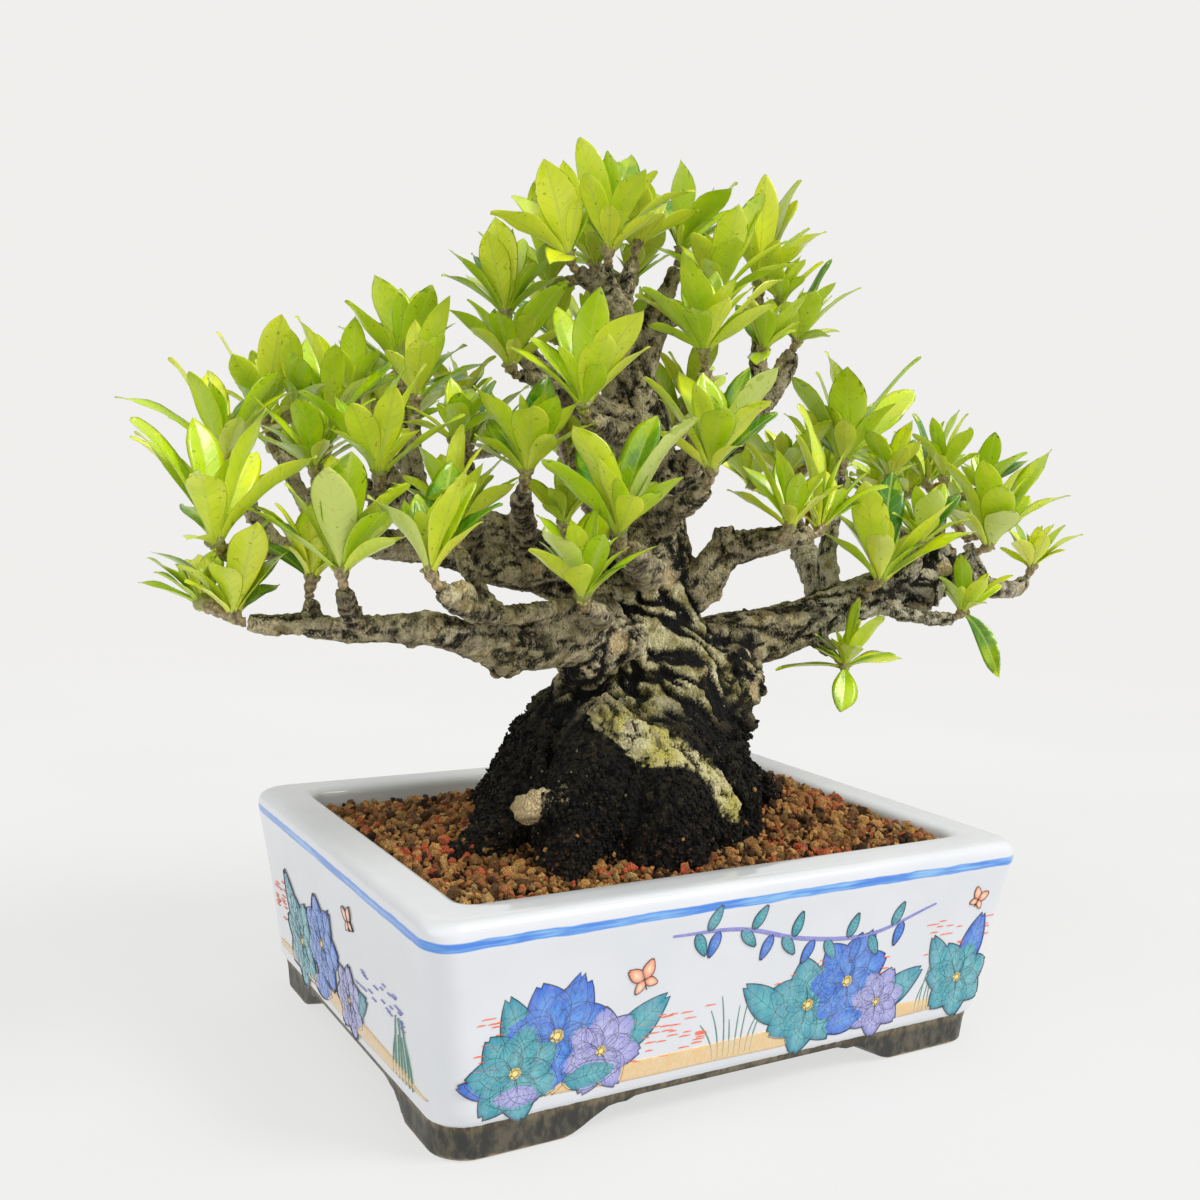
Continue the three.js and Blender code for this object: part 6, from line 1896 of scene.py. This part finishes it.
def leaf_material():
    """Waxy leaf: tone from deep green to yellow-green, a little paler below, a light midrib, side
    veins that curve forward, brown when dead, and green-brown stems."""
    material, nodes, shader = new_material(
        "leaf", Specular_IOR_Level=0.5, Subsurface_Weight=0.1, Subsurface_Scale=0.001,
        Coat_Weight=0.5, Coat_Roughness=0.2)
    shader.inputs["Subsurface Radius"].default_value = (0.7, 1.0, 0.1)
    along, across, half = nodes.split(nodes.attribute("blade", "Vector"))[:3]
    tone, age, top = nodes.split(nodes.attribute("leaf", "Vector"))[:3]
    broad, fine = mottled(nodes, nodes.place(), 7.0)
    away = nodes.math("ABSOLUTE", across)
    edge = nodes.math("DIVIDE", away, nodes.math("MAXIMUM", half, 0.1))
    tone = nodes.plus(tone, nodes.times(nodes.minus(broad, 0.5), 0.25))
    # The deep green end is partly the leaf's own colour, partly painted shade for leaves deep in the canopy.
    deep = nodes.mix(nodes.step(tone, 0.0, 0.4), srgb(62, 132, 2), srgb(188, 220, 0))
    upper = nodes.mix(nodes.step(tone, 0.4, 1.0), deep, srgb(236, 244, 8))
    under = nodes.mix(nodes.step(tone, 0.0, 1.0), srgb(176, 208, 0), srgb(236, 244, 70))
    pale = nodes.mix(nodes.step(top, 0.3, 0.7), srgb(206, 220, 108), srgb(180, 200, 62))
    blade = nodes.mix(nodes.step(top, 0.3, 0.7), under, upper)
    blade = nodes.mix(nodes.step(age, 0.6, 1.0), blade, pale)
    blade = nodes.mix(nodes.times(nodes.step(edge, 0.9, 1.0), 0.25), blade, srgb(208, 216, 84))
    rib = nodes.step(away, 0.45, 0.1)
    blade = nodes.mix(nodes.times(rib, 0.5), blade, srgb(204, 216, 96))
    run = nodes.minus(nodes.times(along, 9.0), nodes.times(edge, 1.3))
    wave = nodes.math("SINE", nodes.times(run, 2 * math.pi))
    vein = nodes.step(wave, 0.75, 1.0)
    vein = nodes.times(vein, nodes.step(edge, 0.95, 0.7))
    blade = nodes.mix(nodes.times(vein, 0.14), blade, srgb(206, 218, 90))
    spot = nodes.step(nodes.noise(nodes.place(), 1.1, 1.0), 0.7, 0.74)
    blade = nodes.mix(nodes.times(spot, 0.5), blade, srgb(92, 96, 24))
    dead = nodes.mix(fine, srgb(176, 104, 52), srgb(116, 66, 34))
    blade = nodes.mix(nodes.step(age, 1.5, 1.9), blade, dead)
    bark = nodes.mix(fine, srgb(92, 74, 46), srgb(186, 164, 116))
    stem = nodes.mix(nodes.step(along, 0.6, 1.0), bark, srgb(146, 160, 52))
    is_stem = nodes.step(half, 0.05, 0.0)
    nodes.feed(shader.inputs["Base Color"], nodes.mix(is_stem, blade, stem))
    rough = nodes.step(top, 0.3, 0.7, 0.48, 0.28)
    nodes.feed(shader.inputs["Roughness"], nodes.plus(rough, nodes.times(fine, 0.1)))
    height = nodes.minus(nodes.times(fine, 0.2), nodes.times(vein, 0.6))
    nodes.feed(shader.inputs["Normal"], nodes.bump(height, 0.12, 0.7))
    return material


def bark_material():
    """Bark: nearly black in its clefts, a dark that is partly painted shade in the recesses, grey-brown
    on its ridges, pale grey in patches, black and crumbly at the base, olive film in between,
    cream lichen on the winding root, and tan cut wood on the scars."""
    material, nodes, shader = new_material("bark", Specular_IOR_Level=0.3)
    place = nodes.place()
    x, _, z = nodes.split(place)[:3]
    broad, fine = mottled(nodes, place, 9.0)
    patch, grain = mottled(nodes, nodes.stretched(place, (1, 1, 0.7)), 3.4)
    relief = nodes.attribute("relief")
    girth = nodes.attribute("girth")
    height = nodes.plus(nodes.times(relief, 0.8), nodes.times(grain, 0.3))
    ridge_tone = nodes.mix(patch, srgb(156, 144, 84), srgb(250, 240, 192))
    # Neck bark nearly black where the relief is low: partly its own dark colour, partly painted shade in the
    # clefts.
    bare = nodes.mix(nodes.step(height, 0.5, 1.02), srgb(8, 7, 5), ridge_tone)
    limb_tone = nodes.mix(nodes.step(patch, 0.25, 0.75), srgb(146, 128, 88), srgb(224, 208, 164))
    limb_tone = nodes.mix(nodes.times(broad, 0.4), limb_tone, srgb(160, 148, 82))
    right = nodes.step(x, 30, 52, 0.3, 0.95)
    light = nodes.times(nodes.step(nodes.noise(place, 6.0, 3.0), 0.36, 0.5), right)
    limb_tone = nodes.mix(light, limb_tone, srgb(224, 216, 192))
    # Limb bark dark where the relief is low: partly its own colour, partly painted shade in the clefts.
    limb = nodes.mix(nodes.step(height, 0.35, 0.8), srgb(20, 16, 11), limb_tone)
    # Dark patches at random on the limbs: black moss, and partly painted shade in place of their shaded
    # undersides.
    dark_patches = nodes.step(nodes.noise(place, 10.0, 4.0), 0.52, 0.64)
    limb = nodes.mix(nodes.times(dark_patches, 0.6), limb, srgb(30, 25, 17))
    limb = nodes.mix(nodes.times(nodes.attribute("rings"), 0.6), limb, srgb(188, 172, 136))
    wood = nodes.mix(nodes.step(girth, 7.0, 12.0), limb, bare)
    film = nodes.times(nodes.step(broad, 0.35, 0.9), nodes.step(z, 112, 84))
    film = nodes.times(film, nodes.step(height, 0.25, 0.6))
    wood = nodes.mix(nodes.times(film, 0.4), wood, srgb(124, 116, 44))
    level = nodes.plus(z, nodes.times(nodes.noise(place, 15.0, 3.0), 26.0))
    base = nodes.times(nodes.step(level, 103, 91), nodes.step(girth, 3.0, 6.0))
    # Black base, darkest where the relief is low: the crust's own colour with painted shade in its clefts.
    black = nodes.mix(nodes.step(height, 0.35, 1.15), srgb(3, 3, 3), srgb(56, 48, 31))
    wood = nodes.mix(base, wood, black)
    dust = nodes.times(nodes.step(nodes.cells(place, 2.3), 0.3, 0.16), nodes.step(z, 66, 52))
    wood = nodes.mix(nodes.times(dust, 0.7), wood, srgb(120, 78, 44))
    speck = nodes.step(nodes.cells(place, 2.6), 0.16, 0.08)
    rare = nodes.step(nodes.noise(place, 11.0), 0.52, 0.6)
    wood = nodes.mix(nodes.times(nodes.times(speck, rare), 0.7), wood, srgb(186, 178, 142))
    cream = nodes.mix(broad, srgb(236, 226, 178), srgb(200, 190, 88))
    # Lichen dark olive in its low gaps: partly painted shade in the recesses.
    cream = nodes.mix(nodes.step(height, 0.35, 0.72), srgb(40, 36, 16), cream)
    worn = nodes.step(nodes.noise(place, 5.0, 3.0), 0.36, 0.44)
    wood = nodes.mix(nodes.times(nodes.attribute("ridge"), worn), wood, cream)
    cut = nodes.mix(grain, srgb(184, 158, 110), srgb(238, 218, 170))
    wood = nodes.mix(nodes.times(nodes.attribute("scar"), 0.85), wood, cut)
    nodes.feed(shader.inputs["Base Color"], wood)
    nodes.feed(shader.inputs["Roughness"], nodes.plus(0.68, nodes.times(fine, 0.25)))
    crack = nodes.step(nodes.cells(nodes.stretched(place, (1, 1, 0.7)), 1.6, "DISTANCE_TO_EDGE"), 0.0, 0.2)
    crumbs = nodes.times(nodes.step(nodes.cells(place, 1.25), 0.75, 0.1), base)
    relief_height = nodes.plus(nodes.times(grain, 0.6), nodes.times(crack, 0.5))
    relief_height = nodes.plus(relief_height, nodes.times(crumbs, 1.2))
    nodes.feed(shader.inputs["Normal"], nodes.bump(relief_height, 0.6, 1.0))
    return material


def glaze_material():
    """Porcelain: cool white glaze, the brushed blue line round the rim, and below the wall a dark
    unglazed slip, mottled olive above and worn to tan clay along its lower edge."""
    material, nodes, shader = new_material(
        "glaze", Specular_IOR_Level=0.5, Coat_Weight=0.6, Coat_Roughness=0.04)
    place = nodes.place()
    z = nodes.split(place)[2]
    broad, _ = mottled(nodes, place, 24.0)
    outside = nodes.attribute("outside")
    white = nodes.mix(broad, srgb(219, 222, 228), srgb(225, 227, 232))
    wobble = nodes.times(nodes.minus(nodes.noise(place, 9.0, 2.0), 0.5), 0.9)
    middle = nodes.math("ABSOLUTE", nodes.minus(nodes.plus(z, wobble), BLUE_LINE_Z))
    line = nodes.times(nodes.step(middle, 1.15, 0.8), outside)
    stroke = nodes.noise(nodes.stretched(place, (0.12, 0.12, 2.2)), 1.6, 3.0)
    density = nodes.step(nodes.plus(nodes.times(broad, 0.4), stroke), 0.35, 0.85)
    blue = nodes.mix(density, srgb(132, 192, 240), srgb(28, 120, 222))
    blue = nodes.mix(nodes.step(middle, 0.5, 1.0), blue, srgb(52, 138, 226))
    glaze = nodes.mix(nodes.times(line, 0.94), white, blue)
    pin = nodes.step(nodes.cells(place, 17.0), 0.035, 0.02)
    glaze = nodes.mix(nodes.times(pin, 0.6), glaze, srgb(120, 96, 70))
    ragged = nodes.plus(z, nodes.times(nodes.noise(nodes.stretched(place, (1, 1, 0.3)), 2.4), 0.8))
    bare = nodes.step(ragged, 8.75, 8.4)
    cloud = nodes.noise(nodes.stretched(place, (1, 1, 0.5)), 2.6, 5.0, 0.65)
    slip = nodes.mix(nodes.step(cloud, 0.4, 0.66), srgb(42, 42, 38), srgb(92, 86, 70))
    olive = nodes.mix(nodes.step(cloud, 0.4, 0.6), srgb(76, 66, 42), srgb(132, 118, 88))
    slip = nodes.mix(nodes.times(nodes.step(z, 5.6, 7.8), 0.75), slip, olive)
    worn = nodes.step(nodes.plus(z, nodes.times(nodes.noise(place, 3.0), 1.8)), 1.9, 1.1)
    slip = nodes.mix(nodes.times(worn, 0.85), slip, srgb(168, 150, 122))
    nodes.feed(shader.inputs["Base Color"], nodes.mix(bare, glaze, slip))
    nodes.feed(shader.inputs["Roughness"], nodes.plus(0.12, nodes.times(bare, 0.4)))
    nodes.feed(shader.inputs["Coat Weight"], nodes.minus(0.6, nodes.times(bare, 0.55)))
    ripple = nodes.plus(nodes.times(nodes.noise(place, 14.0, 1.0), 0.9),
                        nodes.times(nodes.times(cloud, bare), 1.2))
    nodes.feed(shader.inputs["Normal"], nodes.bump(ripple, 0.22, 0.6))
    return material


def enamel_material():
    """Painted enamel: the shape's own colour, brushed unevenly and a little darker where it pools."""
    material, nodes, shader = new_material(
        "enamel", Specular_IOR_Level=0.5, Coat_Weight=0.5, Coat_Roughness=0.05)
    place = nodes.place()
    broad, fine = mottled(nodes, nodes.stretched(place, (1, 1, 0.5)), 3.0)
    paint = nodes.attribute("paint", "Color")
    thin = nodes.mix(nodes.times(broad, 0.14), paint, srgb(236, 240, 246))
    pooled = nodes.mix(nodes.times(fine, 0.3), thin, paint, "MULTIPLY")
    nodes.feed(shader.inputs["Base Color"], pooled)
    nodes.feed(shader.inputs["Roughness"], nodes.plus(0.16, nodes.times(fine, 0.1)))
    return material


def grain_material():
    """Clay granules: dark brown to ochre, one tone and tint for each grain, a few orange-red or
    straw-coloured, dusty and pitted."""
    material, nodes, shader = new_material("clay_grains", Specular_IOR_Level=0.3)
    place = nodes.place()
    broad, fine = mottled(nodes, place, 2.0)
    tone, tint, rare = nodes.split(nodes.attribute("grain", "Vector"))[:3]
    clay = nodes.mix(nodes.step(tone, 0.0, 1.0), srgb(56, 33, 16), srgb(240, 178, 100))
    clay = nodes.mix(nodes.step(tint, 0.6, 1.0), clay, srgb(184, 116, 66))
    field = nodes.step(nodes.noise(place, 16.0, 2.0), 0.5, 0.66, 0.0, 0.3)
    red = nodes.step(nodes.plus(rare, field), 0.93, 0.98)
    clay = nodes.mix(red, clay, srgb(222, 108, 66))
    clay = nodes.mix(nodes.times(nodes.step(rare, 0.08, 0.02), 0.8), clay, srgb(220, 184, 112))
    clay = nodes.mix(nodes.times(nodes.step(fine, 0.2, 0.8), 0.6), clay, srgb(50, 33, 20))
    nodes.feed(shader.inputs["Base Color"], clay)
    nodes.feed(shader.inputs["Roughness"], nodes.plus(0.5, nodes.times(broad, 0.4)))
    nodes.feed(shader.inputs["Normal"], nodes.bump(fine, 0.3, 0.8))
    return material


def soil_bed_material():
    """What shows between the granules: dark clay dust, broken into crumbs; its darkness is partly
    painted shade in the gaps between them.
    """
    material, nodes, shader = new_material("soil_bed", Roughness=0.95, Specular_IOR_Level=0.1)
    place = nodes.place()
    _, fine = mottled(nodes, place, 5.0)
    # Dark brown, darker than the granules: partly painted shade in the gaps between them.
    nodes.feed(shader.inputs["Base Color"], nodes.mix(fine, srgb(22, 14, 9), srgb(58, 38, 25)))
    nodes.feed(shader.inputs["Normal"], nodes.bump(nodes.cells(place, 1.4), 0.8, 1.0))
    return material


def screen_material():
    """Black plastic mesh with a fine moulded grain."""
    material, nodes, shader = new_material("mesh_plastic", Roughness=0.5)
    _, fine = mottled(nodes, nodes.place(), 3.0)
    nodes.feed(shader.inputs["Base Color"], nodes.mix(fine, srgb(26, 27, 28), srgb(46, 47, 48)))
    nodes.feed(shader.inputs["Normal"], nodes.bump(fine, 0.1, 0.5))
    return material


def floor_material():
    """White table top that also glows a little, as one that the picture has burnt out; far off it
    fades into the wall."""
    material, nodes, shader = new_material(
        "table", Roughness=0.6, Specular_IOR_Level=0.0, Emission_Strength=1.0)
    place = nodes.place()
    broad, _ = mottled(nodes, place, 300.0)
    x, y, _ = nodes.split(place)[:3]
    distance = nodes.math("SQRT", nodes.plus(nodes.times(x, x), nodes.times(y, y)))
    far = nodes.step(distance, *FLOOR_FADE)
    shade = nodes.mix(broad, srgb(118, 118, 117), srgb(121, 121, 120))
    nodes.feed(shader.inputs["Base Color"], nodes.mix(far, shade, (0, 0, 0)))
    glow = nodes.mix(broad, srgb(210, 210, 209), srgb(212, 212, 211))
    nodes.feed(shader.inputs["Emission Color"], nodes.mix(far, glow, srgb(*WALL_TONE)))
    return material


# Camera, light and floor

CAMERA_PLACE = (-175.4, -287.5, 139.5)
CAMERA_YAW = 30.0
CAMERA_PITCH = -5.35
CAMERA_ROLL = 2.1
FOCAL_PER_WIDTH = 1316 / 1200
SENSOR = 36.0
WORLD_LIGHT = 0.77
FLOOR_FADE = (280, 900)
FLOOR_REACH = 4000
WALL_TONE = (240, 239, 237)

# Suns as (way, strength, spread in degrees, colour).
KEY_SUN = ((-0.45, 0.5, -0.74), 1.95, 24, (1, 0.99, 0.97))
FILL_SUN = ((0.7, 0.25, -0.6), 0.58, 60, (0.97, 0.98, 1))


def set_camera():
    """Camera at the photograph's place: yaw from +Y towards +X, pitch from the horizon and roll
    about the line of sight."""
    yaw, pitch, roll = (math.radians(a) for a in (CAMERA_YAW, CAMERA_PITCH, CAMERA_ROLL))
    ahead = np.array([math.sin(yaw) * math.cos(pitch), math.cos(yaw) * math.cos(pitch), math.sin(pitch)])
    level = np.array([math.cos(yaw), -math.sin(yaw), 0])
    upright = np.cross(level, ahead)
    right = level * math.cos(roll) + upright * math.sin(roll)
    up = upright * math.cos(roll) - level * math.sin(roll)
    matrix = np.eye(4)
    matrix[:3, 0], matrix[:3, 1], matrix[:3, 2] = right, up, -ahead
    matrix[:3, 3] = to_frame(CAMERA_PLACE)
    data = bpy.data.cameras.new("camera")
    data.sensor_width = SENSOR
    data.lens = SENSOR * FOCAL_PER_WIDTH
    data.clip_start = 0.01
    camera = bpy.data.objects.new("camera", data)
    camera.matrix_world = Matrix(matrix.tolist())
    bpy.context.scene.collection.objects.link(camera)
    bpy.context.scene.camera = camera


def sun(name, way, strength, spread, colour):
    """Even light that travels along way, from a disc spread degrees wide."""
    data = bpy.data.lights.new(name, "SUN")
    data.energy = strength
    data.angle = math.radians(spread)
    data.color = colour
    lamp = bpy.data.objects.new(name, data)
    lamp.rotation_mode = "QUATERNION"
    lamp.rotation_quaternion = Vector(way).to_track_quat("-Z", "Y")
    bpy.context.scene.collection.objects.link(lamp)


def set_stage():
    """Pale floor, pale surroundings that light the object less than they show, and two broad
    even lights from the right front and the left."""
    corners = np.array([(-1, -1, 0), (1, -1, 0), (1, 1, 0), (-1, 1, 0)], float)
    floor = new_object("floor", FLOOR_REACH * corners, [np.array([[0, 1, 2, 3]])])
    floor.data.materials.append(floor_material())
    world = bpy.data.worlds.new("studio")
    world.use_nodes = True
    nodes = Nodes(world.node_tree)
    shade = world.node_tree.nodes["Background"]
    shade.inputs["Color"].default_value = (*srgb(*WALL_TONE), 1)
    seen = nodes.add("LightPath").outputs["Is Camera Ray"]
    nodes.feed(shade.inputs["Strength"], nodes.step(seen, 0.0, 1.0, WORLD_LIGHT, 1.0))
    bpy.context.scene.world = world
    bpy.context.scene.view_settings.view_transform = "Standard"
    sun("key", *KEY_SUN)
    sun("fill", *FILL_SUN)


# The object

set_camera()
set_stage()
build_pot(glaze_material())
build_painting(enamel_material())
for side in ("left", "right"):
    dress_node("drain_screen_" + side, screen_material())
build_soil(grain_material(), soil_bed_material(), *build_wood(bark_material()))
build_sprays(leaf_material())
